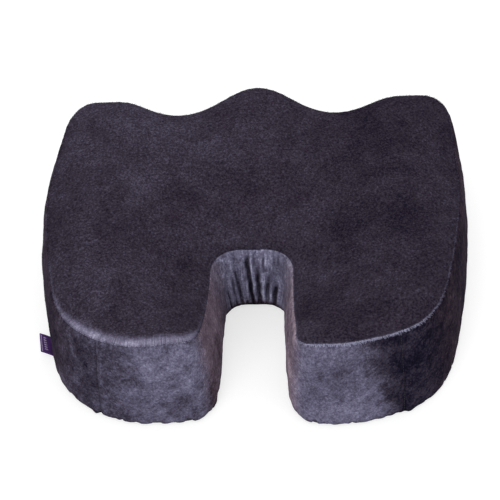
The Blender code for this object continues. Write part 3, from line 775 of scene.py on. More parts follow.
def shape_band(obj, top_z):
    """Adds a band's pleats, hem bunching, soft waves and nap, and gives each point its tone."""
    mesh = obj.data
    points, normals = read_vectors(mesh, "co"), read_vectors(mesh, "normal")
    s, _, outward = OUTLINE.locate(points)
    seam_z = top_z(s)
    t = np.clip((points[:, 2] - HEM_Z) / (seam_z - HEM_Z), 0.0, 1.0)
    free = smoothstep(t, 0.0, 0.12) * smoothstep(1 - t, 0.0, 0.10)
    gathered = 0.3 + 0.7 * smoothstep(BAND_SEAM - abs(s), -6 * MM, 6 * MM)
    folds, shade = pleat_field(s, t)
    waves = sum(height * wander(points, size) for height, size in BAND_WAVES)
    puckers = PUCKER * wander_along(s, PUCKER_SIZE) * bell(1 - t, 0.10) * smoothstep(1 - t, 0.0, 0.03)
    nap = NAP * wander(points, BAND_NAP_SIZE, 1)
    join = abs(abs(s) - BAND_SEAM)
    groove = -BAND_SEAM_GROOVE * bell(join, BAND_SEAM_GROOVE_REACH) * smoothstep(t, -0.1, 0.06)
    move = normals * ((waves + folds + nap) * free + puckers + groove)[:, None]

    bunches = wander_along(s, 19 * MM, 3) + 0.3 * wander_along(s, 7 * MM, 5)
    notches = smoothstep(wander_along(s, 13 * MM, 9), 0.22, 0.5)
    hem = gathered * MM * bell(t, 0.09) * (1 - 0.8 * bell(s, 62 * MM))
    step = BAND_SEAM_STEP * bell(abs(s) - BAND_SEAM - 5 * MM, 5 * MM) * bell(t, 0.07)
    move[:, :2] += outward * (hem * (2.6 * bunches - 2.0 * notches) + step)[:, None]
    move[:, 2] += hem * (1.2 * abs(bunches) + 2.2 * notches) * smoothstep(t, -0.02, 0.02)
    points += move
    points[:, 2] = np.maximum(points[:, 2], 0.1 * MM)
    write_points(mesh, points)
    tone, warm = band_tone(points, s, t, outward, shade)
    # The soft waves are also painted into the tone: painted light where the cloth bulges out and painted
    # shade where it sinks in.
    write_values(mesh, "tone", tone + 0.05 * waves / MM * free)
    write_values(mesh, "warm", warm)
    write_values(mesh, "along", s)
    write_values(mesh, "drawn", bell(s / MM, 45))
    return obj


def shape_top(obj):
    """Adds the top panel's puckers, soft waves and nap, and gives each point its tone, with painted shade at
    the seam, and its painted highlight along the rim.
    """
    mesh = obj.data
    points, normals = read_vectors(mesh, "co"), read_vectors(mesh, "normal")
    s, depth, outward = OUTLINE.locate(points)
    from_seam = np.maximum(depth - LEAN * points[:, 2] - SEAM_TUCK + top_corner(s), 0.0)
    free = smoothstep(from_seam, 0.0, 4 * MM)
    waves = sum(height * wander(points, size) for height, size in TOP_WAVES)
    puckers = PUCKER * wander_along(s, PUCKER_SIZE) * bell(from_seam - 4 * MM, 5 * MM)
    nap = NAP * wander(points, TOP_NAP_SIZE, 1)
    move = (waves + nap) * free + puckers * smoothstep(from_seam, 0.0, 1.5 * MM)
    points += normals * move[:, None]
    write_points(mesh, points)

    x, y = points[:, 0] / MM, points[:, 1] / MM
    # A painted highlight on the rolled edge above the top seam, stored as rim: wide and bright at the rear
    # of the left lobe, a thin line on the right lobe.
    rear = smoothstep(-outward[:, 1], 0.1, 0.95)
    left = smoothstep(-x, 30, 48) * smoothstep(-y, -20, 110)
    right = smoothstep(x, 30, 45) * smoothstep(-y, -90, 60)
    width = 1.5 + left * (1.2 + 7.5 * rear)
    rim_highlight_falloff = bell(np.maximum(from_seam / MM - 0.2 * width, 0), 0.55 * width)
    strength = np.maximum(left * (0.31 + 0.43 * rear), right * (0.25 + 0.20 * rear))
    write_values(mesh, "rim", np.clip(rim_highlight_falloff * strength, 0, 1))
    write_values(mesh, "along", s)
    tone = 0.30 + 0.04 * smoothstep(-x, 0, 140) * smoothstep(y, -60, 110)
    tone -= 0.05 * smoothstep(x, 0, 120)
    tone += 0.05 * wander(points, 60 * MM) + 0.04 * wander(points, 22 * MM)
    # Painted shade in the groove of the top seam.
    tone -= 0.05 * bell(from_seam, 2 * MM)
    write_values(mesh, "tone", tone)
    write_values(mesh, "warm", np.full(len(x), 0.2))
    return obj


# ---- Materials ----


class Nodes:
    """A material's node tree, built a node at a time."""

    def __init__(self, name):
        self.material = bpy.data.materials.new(name)
        self.material.use_nodes = True
        self.tree = self.material.node_tree
        self.shader = self.tree.nodes["Principled BSDF"]

    def add(self, kind, settings=(), **inputs):
        """A node of that kind. Inputs are named with _ for each space, and take a value or a socket."""
        node = self.tree.nodes.new(f"ShaderNode{kind}")
        for name, value in dict(settings).items():
            setattr(node, name, value)
        self.fill(node, inputs)
        return node

    def fill(self, node, inputs):
        for name, value in inputs.items():
            self.plug(node.inputs[name.replace("_", " ")], value)

    def plug(self, socket, value):
        """Links another node's socket to this one, or sets this one's value."""
        if isinstance(value, bpy.types.NodeSocket):
            self.tree.links.new(value, socket)
        else:
            socket.default_value = value

    def maths(self, operation, first, second=0.0):
        node = self.add("Math", {"operation": operation})
        for socket, value in zip(node.inputs, (first, second)):
            self.plug(socket, value)
        return node.outputs[0]

    def total(self, *terms):
        """The sum of value and weight pairs."""
        result = 0.0
        for value, weight in terms:
            result = self.maths("ADD", result, self.maths("MULTIPLY", value, weight))
        return result

    def value(self, name):
        return self.add("Attribute", {"attribute_name": name}).outputs["Fac"]

    def place(self, stretch=(1, 1, 1)):
        """Position on the object, in metres, with each axis stretched."""
        where = self.add("TexCoord").outputs["Object"]
        return self.add("Mapping", Vector=where, Scale=stretch).outputs[0]

    def lumps(self, size, detail=2.0, vector=None, swirl=0.0):
        """Noise from about -1 to 1 with lumps of that size."""
        where = vector or self.place()
        node = self.add(
            "TexNoise", Vector=where, Scale=1 / size, Detail=detail, Roughness=0.6, Distortion=swirl
        )
        return self.maths("MULTIPLY", self.maths("SUBTRACT", node.outputs[0], 0.5), 3.0)

    def ramp(self, value, stops):
        """A colour ramp with stops of position and sRGB colour from 0 to 255."""
        node = self.add("ValToRGB", Fac=value)
        elements = node.color_ramp.elements
        while len(elements) < len(stops):
            elements.new(1.0)
        for element, (position, color) in zip(elements, stops):
            element.position = position
            element.color = (*(linear(c) for c in color), 1)
        return node.outputs["Color"]

    def mix(self, factor, first, second, blend="MIX"):
        node = self.add("Mix", {"data_type": "RGBA", "blend_type": blend})
        for name, value in (("Factor_Float", factor), ("A_Color", first), ("B_Color", second)):
            self.plug(next(k for k in node.inputs if k.identifier == name), value)
        return next(k for k in node.outputs if k.identifier == "Result_Color")

    def finish(self, color, roughness, height=None, distance=0.5 * MM, strength=1.0, **inputs):
        inputs = {"Base_Color": color, "Roughness": roughness, **inputs}
        if height is not None:
            bump = self.add("Bump", Height=height, Distance=distance, Strength=strength)
            inputs["Normal"] = bump.outputs[0]
        self.fill(self.shader, inputs)
        return self.material


def linear(value):
    """An sRGB value from 0 to 255 as linear light."""
    c = value / 255
    return c / 12.92 if c <= 0.04045 else ((c + 0.055) / 1.055) ** 2.4


def rgb(*values):
    return (*(linear(v) for v in values), 1)


def velour(name, grain, mottle, with_painted_rim_highlight=False):
    """Short pile: its tone follows the tone attribute, which holds the way the pile is brushed and painted
    light and shade; the top also gets a painted highlight along its rim.
    """
    nodes = Nodes(name)
    fine = nodes.lumps(2.2 * MM, 3.0)
    speck = nodes.lumps(0.9 * MM, 1.0)
    dabs = nodes.lumps(8 * MM, 4.0, swirl=1.5)
    marks = nodes.lumps(22 * MM, 4.0, swirl=0.8)
    patches = nodes.lumps(70 * MM, 2.0)
    turned = nodes.add("Mapping", Vector=nodes.place(), Rotation=(0, math.radians(STROKE_SLANT), 0))
    stretched = nodes.add("Mapping", Vector=turned.outputs[0], Scale=(0.35, 1, 1))
    strokes = nodes.lumps(4.5 * MM, 3.0, stretched.outputs[0])
    pile = nodes.total((fine, grain), (speck, 0.6 * grain))
    if with_painted_rim_highlight:
        pile = nodes.maths("MULTIPLY", pile, nodes.total((nodes.value("rim"), -0.7), (1.0, 1.0)))
    tone = nodes.total(
        (nodes.value("tone"), 1.0),
        (pile, 1.0),
        (dabs, 0.5 * mottle),
        (marks, mottle),
        (patches, 0.5 * mottle),
        (strokes, 0.6 * mottle),
    )
    along = nodes.value("along")
    # The top's painted highlight along its rim, from the rim attribute, broken into streaks across the seam
    # and added to the tone.
    if with_painted_rim_highlight:
        across = nodes.add("CombineXYZ", X=along).outputs[0]
        streaks = nodes.lumps(1.3 * MM, 2.0, across)
        uneven = nodes.total((streaks, 0.42), (marks, 0.35), (1.0, 0.85))
        rim = nodes.maths("MULTIPLY", nodes.value("rim"), uneven)
        tone = nodes.maths("ADD", tone, nodes.maths("MULTIPLY", rim, 0.75))
    else:
        # At the cut-out's closed end, finer creases than the mesh's are painted into the tone as painted
        # shade and highlight.
        height = nodes.add("SeparateXYZ", Vector=nodes.place((1, 1, 0.1))).outputs["Z"]
        upright = nodes.add("CombineXYZ", X=along, Y=height).outputs[0]
        creases = nodes.maths("MULTIPLY", nodes.lumps(2.4 * MM, 3.0, upright), nodes.value("drawn"))
        tone = nodes.maths("ADD", tone, nodes.maths("MULTIPLY", creases, 0.26))
    color = nodes.ramp(tone, VELOUR_TONES)
    brown = nodes.mix(1.0, color, rgb(255, 228, 214), "MULTIPLY")
    color = nodes.mix(nodes.value("warm"), color, brown)
    height = nodes.total((fine, 0.5), (speck, 0.3), (dabs, 0.6))
    return nodes.finish(
        color,
        0.85,
        height,
        distance=0.35 * MM,
        strength=0.6,
        Specular_IOR_Level=0.0,
        Sheen_Weight=0.03,
        Sheen_Roughness=0.45,
        Sheen_Tint=rgb(190, 188, 215),
    )


def shared(maker):
    """Makes a material once and hands out the same one after that."""
    made = []

    def once():
        if not made:
            made.append(maker())
        return made[0]

    return once


def thread_material(name, color):
    """Twisted thread."""
    nodes = Nodes(name)
    twist = nodes.lumps(0.5 * MM, 2.0, nodes.place((1, 1, 3)))
    hollow = [0.75 * c for c in color]
    # The hollows of the twist are painted darker: painted shade.
    shade = nodes.mix(nodes.total((twist, 0.3), (1.0, 0.5)), rgb(*hollow), rgb(*color))
    return nodes.finish(shade, 0.55, twist, distance=0.1 * MM, Specular_IOR_Level=0.3)


@shared
def dark_thread():
    return thread_material("cover_thread", (52, 47, 60))


@shared
def label_thread():
    return thread_material("label_mark_thread", (206, 186, 226))


def woven(name, threads, lumps, share, colors, roughness, bump, specular=0.5, twist=0.0):
    """Cloth. threads are the directions of its threads and how close they are, lumps are the size, detail
    and share of each unevenness, and share is the weave's part of the tone and the tone without it."""
    nodes = Nodes(name)
    weave = 1.0
    for direction, closeness in threads:
        way = {"bands_direction": direction}
        wave = nodes.add("TexWave", way, Vector=nodes.place(), Scale=closeness, Distortion=twist)
        weave = nodes.maths("MULTIPLY", weave, wave.outputs["Fac"])
    uneven = [(nodes.lumps(size, detail), part) for size, detail, part in lumps]
    tone = nodes.total((weave, share[0]), *uneven, (1.0, share[1]))
    color = nodes.mix(tone, *(rgb(*each) for each in colors))
    return nodes.finish(color, roughness, weave, distance=bump, Specular_IOR_Level=specular)


@shared
def knit_material():
    """White jersey knit: fine vertical ribs crossed by loops."""
    threads, lumps = (("X", 300), ("Y", 420)), ((25 * MM, 3.0, 0.2),)
    colors = (205, 205, 208), (240, 240, 242)
    return woven("liner_knit", threads, lumps, (0.4, 0.4), colors, 0.9, 0.2 * MM, 0.15)


@shared
def elastic_material():
    """Braided elastic: lengthwise cords."""
    threads, lumps = (("Z", 260),), ((1 * MM, 2.0, 0.2),)
    colors = (150, 150, 152), (225, 225, 228)
    return woven("braided_elastic", threads, lumps, (0.6, 0.2), colors, 0.8, 0.25 * MM)


@shared
def grip_material():
    """Dark woven base cloth."""
    threads, lumps = (("X", 380), ("Y", 380)), ((40 * MM, 4.0, 0.35), (2 * MM, 2.0, 0.12))
    colors = (40, 37, 45), (84, 79, 94)
    return woven("grip_cloth", threads, lumps, (0.5, 0.3), colors, 0.85, 0.3 * MM, 0.2)


@shared
def tape_material():
    """Zip tape: a fine slanting weave."""
    threads, lumps = (("DIAGONAL", 420),), ((15 * MM, 3.0, 0.2),)
    colors = (26, 24, 30), (58, 54, 66)
    return woven("zip_tape_weave", threads, lumps, (0.6, 0.2), colors, 0.8, 0.15 * MM, 0.2, twist=1.0)


@shared
def satin_material():
    """White label satin, left blank."""
    threads, lumps = (("X", 500),), ((12 * MM, 3.0, 0.3),)
    colors = (214, 214, 218), (243, 243, 246)
    return woven("care_satin", threads, lumps, (0.3, 0.4), colors, 0.45, 0.08 * MM)


@shared
def label_material():
    """Deep purple woven ribbon."""
    threads, lumps = (("Y", 420),), ((0.8 * MM, 2.0, 0.25),)
    colors = (62, 26, 94), (104, 62, 142)
    return woven("label_weave", threads, lumps, (0.45, 0.3), colors, 0.6, 0.15 * MM, 0.3)


@shared
def foam_material():
    """Open-cell memory foam."""
    nodes = Nodes("memory_foam")
    pores = nodes.add("TexVoronoi", Vector=nodes.place(), Scale=1 / (1.4 * MM)).outputs["Distance"]
    haze = nodes.lumps(30 * MM, 3.0)
    tone = nodes.total((haze, 0.25), (pores, -0.35), (1.0, 0.7))
    color = nodes.mix(tone, rgb(196, 186, 158), rgb(236, 230, 210))
    return nodes.finish(color, 0.95, pores, distance=0.4 * MM, Specular_IOR_Level=0.1)


@shared
def rubber_material():
    """Slightly worn rubber dots."""
    nodes = Nodes("grip_rubber")
    wear = nodes.lumps(18 * MM, 4.0)
    fine = nodes.lumps(1 * MM, 2.0)
    tone = nodes.total((wear, 0.4), (fine, 0.15), (1.0, 0.4))
    color = nodes.mix(tone, rgb(70, 70, 76), rgb(112, 111, 120))
    roughness = nodes.total((wear, 0.15), (1.0, 0.45))
    return nodes.finish(color, roughness, fine, distance=0.05 * MM)


@shared
def nylon_material():
    """Moulded black nylon with a soft shine."""
    nodes = Nodes("zip_nylon_black")
    scuffs = nodes.lumps(3 * MM, 4.0)
    color = nodes.mix(nodes.total((scuffs, 0.4), (1.0, 0.4)), rgb(22, 21, 26), rgb(48, 46, 54))
    return nodes.finish(color, nodes.total((scuffs, 0.15), (1.0, 0.4)), scuffs, distance=0.05 * MM)


@shared
def zinc_material():
    """Cast zinc with a dark nickel finish, rubbed brighter in places."""
    nodes = Nodes("zip_zinc")
    rub = nodes.lumps(4 * MM, 4.0)
    grain = nodes.lumps(0.6 * MM, 2.0)
    color = nodes.mix(nodes.total((rub, 0.6), (1.0, 0.45)), rgb(70, 69, 74), rgb(150, 149, 155))
    roughness = nodes.total((rub, -0.12), (grain, 0.06), (1.0, 0.36))
    return nodes.finish(color, roughness, grain, distance=0.04 * MM, Metallic=0.9)


# ---- Stage ----


def make_stage():
    """A pale floor that can be seen through from below, so that the underside shows."""
    bm = bmesh.new()
    bmesh.ops.create_grid(bm, x_segments=1, y_segments=1, size=FLOOR_HALF)
    floor = bm_object("floor", bm)
    floor.location.z = FLOOR_Z
    nodes = Nodes("pale_floor")
    nodes.finish(
        (0.5, 0.5, 0.5, 1),
        0.9,
        Specular_IOR_Level=0.0,
        Emission_Color=(1, 1, 1, 1),
        Emission_Strength=0.62,
    )
    behind = nodes.add("NewGeometry").outputs["Backfacing"]
    clear = nodes.add("BsdfTransparent").outputs[0]
    shown = nodes.add("MixShader", Fac=behind)
    nodes.tree.links.new(nodes.shader.outputs[0], shown.inputs[1])
    nodes.tree.links.new(clear, shown.inputs[2])
    nodes.tree.links.new(shown.outputs[0], nodes.tree.nodes["Material Output"].inputs["Surface"])
    floor.data.materials.append(nodes.material)


def make_camera():
    azimuth, elevation, roll_angle = (math.radians(a) for a in (AZIMUTH, ELEVATION, ROLL))
    back = Vector((
        math.sin(azimuth) * math.cos(elevation),
        -math.cos(azimuth) * math.cos(elevation),
        math.sin(elevation),
    ))
    data = bpy.data.cameras.new("camera")
    camera = link(bpy.data.objects.new("camera", data))
    camera.location = Vector(CAMERA_TARGET) + back * CAMERA_DISTANCE
    turn = (-back).to_track_quat("-Z", "Y").to_matrix() @ Matrix.Rotation(-roll_angle, 3, "Z")
    camera.rotation_euler = turn.to_euler()
    data.sensor_width, data.lens = SENSOR, LENS
    data.shift_x, data.shift_y = SHIFT
    bpy.context.scene.camera = camera


def make_lights():
    world = bpy.data.worlds.new("studio")
    world.use_nodes = True
    background = world.node_tree.nodes["Background"]
    background.inputs["Color"].default_value = (1, 1, 1, 1)
    background.inputs["Strength"].default_value = 0.85
    bpy.context.scene.world = world
    for name, place, size, power in (
        ("key", (-0.9, -2.2, 1.5), 1.4, 22),
        ("fill", (1.8, -0.9, 1.6), 1.8, 6),
        ("back", (0.2, 1.9, 1.7), 1.6, 10),
    ):
        data = bpy.data.lights.new(name, "AREA")
        data.energy, data.size = power, size
        lamp = link(bpy.data.objects.new(name, data))
        lamp.location = place
        lamp.rotation_euler = (-Vector(place)).to_track_quat("-Z", "Y").to_euler()
    bpy.context.scene.view_settings.view_transform = "Standard"


# ---- Inside the cover ----


def room_inset(s, inset):
    """How far an inner piece sits in, with more room behind the pleats."""
    return inset + GATHER_ROOM * bell(s, GATHER_ROOM_REACH)


def inner_form(name, inset, drop, base_gap):
    """A closed form inside the cover: a base with the zip's hollow, leaning walls and a fitted top."""

    def base_height(points):
        return UNDER(points) * ZIP_ROOM + base_gap

    def top_height(points):
        return TOP(points) - drop

    s = stations()[::2]
    top_z = seam_height(s) - drop
    base_plan = OUTLINE.place(s, room_inset(s, inset) + INNER_BASE_EDGE)
    base_z = base_height(base_plan)
    rings = [np.column_stack([base_plan, base_z])]
    for share in INNER_ROWS:
        z = base_z + (top_z - base_z) * share
        rings.append(np.column_stack([OUTLINE.place(s, room_inset(s, inset) + LEAN * z), z]))
    rim = OUTLINE.place(s, room_inset(s, inset) + LEAN * top_z + INNER_TOP_EDGE)
    rings.append(np.column_stack([rim, top_height(rim)]))
    form = Loft(s, rings, INNER_TOP_GRID, top_height, INNER_BASE_GRID, base_height)
    return subdivided(mesh_object(name, form.points, form.all()), 1)


def make_inside():
    foam = inner_form("foam_block", FOAM_INSET, FOAM_DROP, FOAM_BASE_GAP)
    finished(foam, foam_material(), "cushion", "foam", "foam_core")
    liner = thickened(inner_form("liner_bag", LINER_INSET, LINER_DROP, LINER_BASE_GAP), LINER_CLOTH)
    finished(liner, knit_material(), "cushion", "knit", "liner_top", "liner_base")
    s = np.linspace(0, OUTLINE.length, 800)
    plan = OUTLINE.place(s, room_inset(s, LINER_INSET) + 1 * MM)
    seam = stitch_row("liner_seam_stitches", np.column_stack([plan, UNDER(plan) + LINER_SEAM_Z]))
    finished(seam, thread_material("liner_thread", (205, 205, 210)), "cushion", "satin", "liner_seam_thread")


def make_elastic():
    """The band in the hem of the cut-out's closed end."""
    count = 60
    s = np.linspace(-ELASTIC_HALF, ELASTIC_HALF, count)
    inset = 4.6 * MM + 1.5 * MM * bell(s, 40 * MM)
    low = level_path(s, inset, ELASTIC_Z)
    high = low + (0, 0, ELASTIC_WIDTH)
    faces = [(i, i + 1, count + i + 1, count + i) for i in range(count - 1)]
    band = thickened(mesh_object("hem_elastic", np.vstack([low, high]), faces), ELASTIC_THICKNESS)
    finished(band, elastic_material(), "cushion", "elastic", "cutout_elastic")


# ---- Underside ----


def zip_opening():
    """Middle, half width and half length of the opening in the base that the zip closes."""
    rear, front = (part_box(f"zip_stitch_{side}") for side in ("rear", "front"))
    rows = [(low.y + high.y) / 2 for low, high in (rear, front)]
    half_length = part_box("zip_end_tack_right")[1].x + ROOM_PAST_TACK
    return (rows[0] + rows[1]) / 2, (rows[1] - rows[0]) / 2 - OPENING_TO_STITCH, half_length


def base_plan(toward):
    """The flat plan of one base panel: the outline up to the zip's line, less the zip's opening."""
    middle, half_width, half_length = zip_opening()
    s = np.arange(0, OUTLINE.length, 5 * MM)
    plan, faces = filled(OUTLINE.place(s, BASE_INSET), BASE_STEP, 0.55 * BASE_STEP)
    bm = bmesh.new()
    verts = [bm.verts.new((x, y, 0)) for x, y in plan]
    for face in faces:
        bm.faces.new([verts[i] for i in reversed(face)])
    edge = middle - toward * BASE_JOIN_GAP / 2
    for place, normal, clear in (
        ((0, edge, 0), (0, toward, 0), True),
        ((0, middle - toward * half_width, 0), (0, 1, 0), False),
        ((half_length, 0, 0), (1, 0, 0), False),
        ((-half_length, 0, 0), (1, 0, 0), False),
    ):
        everything = bm.verts[:] + bm.edges[:] + bm.faces[:]
        bmesh.ops.bisect_plane(bm, geom=everything, plane_co=place, plane_no=normal, clear_outer=clear)
    open_faces = []
    for face in bm.faces:
        centre = face.calc_center_median()
        if abs(centre.x) < half_length and abs(centre.y - middle) < half_width:
            open_faces.append(face)
    bmesh.ops.delete(bm, geom=open_faces, context="FACES")
    return bm


def make_base():
    """The grip base in two panels, with rubber dots, each side of the zip."""
    middle, _, half_length = zip_opening()
    for end, toward in (("rear", 1), ("front", -1)):
        obj = bm_object(f"grip_base_{end}", base_plan(toward))
        points = read_vectors(obj.data, "co")
        points[:, 2] = UNDER(points[:, :2]) + BASE_RISE
        write_points(obj.data, points)
        subdivided(obj, 1)
        points = read_vectors(obj.data, "co")
        near_edge = 1 - smoothstep(OUTLINE.locate(points)[1], 4 * MM, 20 * MM)
        points[:, 2] += BASE_WAVE * wander(points, BASE_WAVE_SIZE) * (0.3 + 0.7 * near_edge)
        joined = smoothstep(abs(points[:, 0]), half_length, half_length + 4 * MM)
        points[:, 2] += BASE_PINCH * bell(points[:, 1] - middle, 2 * MM) * joined
        write_points(obj.data, points)
        panel_node = f"base_{end}_panel"
        finished(thickened(obj, BASE_CLOTH), grip_material(), "cushion", "grip_fabric", panel_node)
        dots = make_dots(f"grip_dots_{end}", middle, toward)
        finished(dots, rubber_material(), "cushion", "grip_fabric")


def make_dots(name, middle, toward):
    """Rubber dots in staggered rows on one base panel."""
    low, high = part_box("base_rear_panel")[0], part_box("base_front_panel")[1]
    places = []
    rise = DOT_PITCH * math.sqrt(3) / 2
    for row in range(int((high.y - low.y) / rise) + 1):
        y = low.y + row * rise
        if (middle - y) * toward < ZIP_MARGIN:
            continue
        for column in range(int((high.x - low.x) / DOT_PITCH) + 1):
            places.append((low.x + (column + row % 2 / 2) * DOT_PITCH, y))
    places = np.array(places)
    places = places[OUTLINE.locate(places)[1] > BASE_INSET + 4 * MM]
    starts = np.column_stack([places, UNDER(places) + BASE_RISE + 0.1 * MM])
    profile = ((0, 1.0), (0.45, 0.92), (0.8, 0.66), (1, 0.3))
    return rods(name, starts, starts - (0, 0, DOT_HEIGHT), DOT_RADIUS, profile, sides=10)


def make_zip():
    """Coiled teeth and sewing; the tapes, stops, tacks, slider and pull are the CAD's own."""
    for side in ("front", "rear"):
        low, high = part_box(f"zip_coil_{side}")
        turns = int((high.x - low.x) / COIL_PITCH)
        angles = np.arange(turns * COIL_TURN_POINTS) * 2 * math.pi / COIL_TURN_POINTS
        centre, half = (low + high) / 2, (high - low) / 2
        points = np.column_stack([
            low.x + COIL_WIRE + angles / (2 * math.pi) * COIL_PITCH,
            centre.y + (half.y - COIL_WIRE) * np.cos(angles),
            centre.z + (half.z - COIL_WIRE) * np.sin(angles),
        ])
        curve = bpy.data.curves.new(f"zip_teeth_{side}", "CURVE")
        curve.dimensions = "3D"
        curve.bevel_depth, curve.bevel_resolution, curve.use_fill_caps = COIL_WIRE, 1, True
        spline = curve.splines.new("POLY")
        spline.points.add(len(points) - 1)
        spline.points.foreach_set("co", np.column_stack([points, np.ones(len(points))]).ravel())
        finished(welded(curve), nylon_material(), "cushion", "zip_nylon", f"zip_coil_{side}")
        low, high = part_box(f"zip_stitch_{side}")
        x = np.linspace(low.x, high.x, 200)
        y = np.full(len(x), (low.y + high.y) / 2)
        path = np.column_stack([x, y, UNDER(np.column_stack([x, y])) + BASE_RISE - STITCH_PRESS])
        sew(f"zip_stitches_{side}", path, f"zip_stitch_{side}")


def welded(curve):
    """A curve as a mesh object with welded ends."""
    rig = link(bpy.data.objects.new(curve.name, curve))
    mesh = evaluated(rig)
    bpy.data.objects.remove(rig)
    bm = bmesh.new()
    bm.from_mesh(mesh)
    bmesh.ops.remove_doubles(bm, verts=bm.verts, dist=WELD)
    return bm_object(curve.name, bm)


# ---- Label and the CAD's own small parts ----


def make_label():
    """A ribbon folded double, sewn in a little askew, with plain woven bars and dashes."""
    hinge = next(joint for joint in frame["joints"] if joint["name"] == "label_flex")
    along = Vector(hinge["axis"]).normalized()
    level = Matrix.Rotation(math.radians(LABEL_ASKEW), 3, "Z") @ Vector((0, 0, 1)).cross(along)
    tilt = math.radians(LABEL_TILT)
    out = level * math.cos(tilt) + Vector((0, 0, math.sin(tilt)))
    up = along.cross(out).normalized()
    root = Vector(hinge["pos_m"])

    def place(u, v, w):
        droop = -1.1 * MM * (v / LABEL_REACH) ** 2 - 0.5 * MM * math.sin(u / LABEL_LENGTH * 3)
        return root + along * u + out * v * (1 - LABEL_SKEW * u / LABEL_LENGTH) + up * (w + droop)

    half = LABEL_FOLD
    section = [(v, half) for v in np.linspace(-LABEL_ROOT, LABEL_REACH - half, 12)]
    for angle in range(60, -90, -30):
        turn = math.radians(angle)
        section.append((LABEL_REACH - half + half * math.cos(turn), half * math.sin(turn)))
    section += [(v, -half) for v in np.linspace(LABEL_REACH - half, -LABEL_ROOT, 12)]
    steps = np.linspace(-0.5, 0.5, 28) * LABEL_LENGTH
    verts = [place(u, v, w) for u in steps for v, w in section]
    size = len(section)
    faces = []
    for row in range(len(steps) - 1):
        for i in range(size - 1):
            corner = row * size + i
            faces.append((corner, corner + size, corner + 1 + size, corner + 1))
    ribbon = thickened(mesh_object("side_label", verts, faces), LABEL_PLY)
    finished(subdivided(ribbon, 1), label_material(), None, "label", "label")
    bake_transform(ribbon)

    above = half + 0.05 * MM
    starts, ends = [], []
    for thread in (-LABEL_THREAD_PITCH, 0, LABEL_THREAD_PITCH):
        for u in np.arange(-0.30, 0.31, 0.12) * LABEL_LENGTH + thread:
            starts.append(place(u, 0.42 * LABEL_REACH, above))
            ends.append(place(u, 0.68 * LABEL_REACH, above))
    dashes_at = 0.85 * LABEL_REACH
    for v in (dashes_at, dashes_at + LABEL_THREAD_PITCH):
        for u in np.arange(-0.44, 0.40, 0.08) * LABEL_LENGTH:
            starts.append(place(u, v, above))
            ends.append(place(u + 0.065 * LABEL_LENGTH, v, above))
    bars = rods("side_label_bars", starts, ends, LABEL_THREAD, STITCH_PROFILE)
    finished(bars, label_thread(), "label", "label")


def finish_kept_nodes():
    """Gives the CAD nodes that stay their materials."""
    looks = {
        "zip_tape_front": tape_material,
        "zip_tape_rear": tape_material,
        "zip_top_stop_front": nylon_material,
        "zip_top_stop_rear": nylon_material,
        "zip_bottom_stop": nylon_material,
        "zip_end_tack_left": dark_thread,
        "zip_end_tack_right": dark_thread,
        "zip_slider": zinc_material,
        "zip_pull": zinc_material,
        "care_label": satin_material,
    }
    for node, maker in looks.items():
        materials = frame["nodes"][node].data.materials
        materials.clear()
        materials.append(maker())


# ---- Assembly ----


def make_cover():
    skin = make_skin()
    inflate(skin)
    seam = skin.points[skin.index(BAND_ROWS, 0) : skin.index(BAND_ROWS, skin.count - 1) + 1]

    def top_z(s):
        return np.interp(s, skin.s, seam[:, 2], period=OUTLINE.length)

    right = int(abs(skin.s - BAND_SEAM).argmin())
    left = int(abs(skin.s + BAND_SEAM).argmin())
    top = shape_top(panel("cover_top", skin, skin.above(BAND_ROWS)))
    rear = shape_band(panel("cover_band_rear", skin, skin.strip(0, BAND_ROWS, left, right)), top_z)
    front_faces = skin.strip(0, BAND_ROWS, right, left + skin.count)
    front = shape_band(panel("cover_band_front", skin, front_faces), top_z)
    top_velour = velour("top_velour", grain=0.23, mottle=0.06, with_painted_rim_highlight=True)
    band_velour = velour("band_velour", grain=0.20, mottle=0.18)
    for obj, material, node in (
        (top, top_velour, "cover_top_panel"),
        (rear, band_velour, "cover_rear_band"),
        (front, band_velour, "cover_front_band"),
    ):
        finished(thickened(obj, CLOTH), material, "cushion", "velour", node)
    make_seams(skin, seam, left, right)
    make_pile(skin, seam, band_velour)


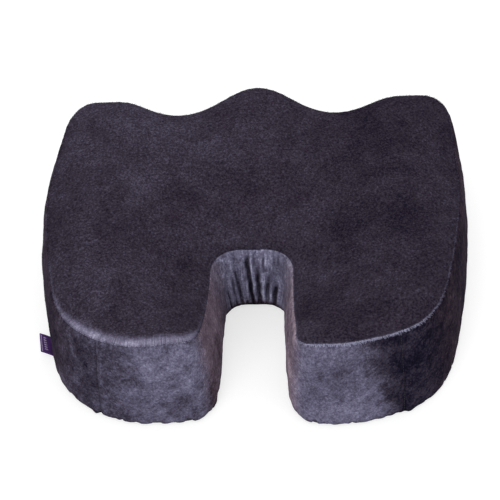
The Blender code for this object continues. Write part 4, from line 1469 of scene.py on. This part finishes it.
def make_pile(skin, seam, material):
    """Tufts of pile that stand up along the top seam, thickest at the rear of the right lobe, where their
    tone is also painted lighter as a painted highlight.
    """
    draw = random.Random(PILE_SEED)
    starts, ends, tones = [], [], []
    s = -HALF_WAY
    while s < HALF_WAY:
        plan, facing = OUTLINE.place(s), OUTLINE.place(s) - OUTLINE.place(s, 1.0)
        lobe = max(0.0, -facing[1]) * (plan[0] > 30 * MM) * (plan[1] < 0)
        s += draw.uniform(0.5, 1.1) * PILE_GAP / (1 + 2.5 * lobe)
        x, y, z = (np.interp(s, skin.s, seam[:, k], period=OUTLINE.length) for k in range(3))
        inward = draw.uniform(0.2, 1.4) * MM
        start = np.array([x, y, z]) + (*(-facing * inward), 0.6 * MM + inward * 0.5)
        lean = (draw.uniform(-0.6, 0.6), draw.uniform(-0.5, 0.5))
        aim = np.array([facing[0] - facing[1] * lean[0], facing[1] + facing[0] * lean[0], lean[1]])
        starts.append(start)
        ends.append(start + aim * draw.uniform(1.1, 2.2) * MM * (0.8 + 0.9 * lobe))
        # Tufts at the rear of the right lobe, facing the key light, are painted lighter: a painted
        # highlight.
        tones.append(0.36 + 0.6 * lobe + draw.uniform(-0.1, 0.15))
    profile = ((0, 1.0), (0.5, 0.75), (1, 0.2))
    pile = rods("seam_pile", starts, ends, PILE_RADIUS, profile, sides=5)
    each = len(pile.data.vertices) // len(tones)
    write_values(pile.data, "tone", np.repeat(tones, each))
    for name in ("warm", "along", "drawn"):
        write_values(pile.data, name, np.zeros(each * len(tones)))
    finished(pile, material, "cushion", "velour")


def make_seams(skin, seam, left, right):
    """The sewing in the cover's seams."""
    inward = level_path(skin.s, 1.0, 0.0) - level_path(skin.s, 0.0, 0.0)
    closed = seam + inward * TOP_STITCH_INSET
    sew("top_seam_stitches", np.vstack([closed, closed[:1]]), "top_seam_thread")
    s = np.linspace(0, OUTLINE.length, 700)
    hem = level_path(s, BASE_INSET + BASE_STITCH_INSET, BASE_RISE - STITCH_PRESS)
    sew("base_seam_stitches", hem, "base_seam_thread")
    for side, station in (("left", left), ("right", right)):
        column = np.array([skin.points[skin.index(row, station)] for row in range(2, BAND_ROWS)])
        path = column + inward[station] * BAND_STITCH_INSET
        sew(f"{side}_band_seam_stitches", path, f"{side}_band_seam_thread")


make_cover()
make_inside()
make_elastic()
make_base()
make_zip()
make_label()
finish_kept_nodes()
make_stage()
make_camera()
make_lights()
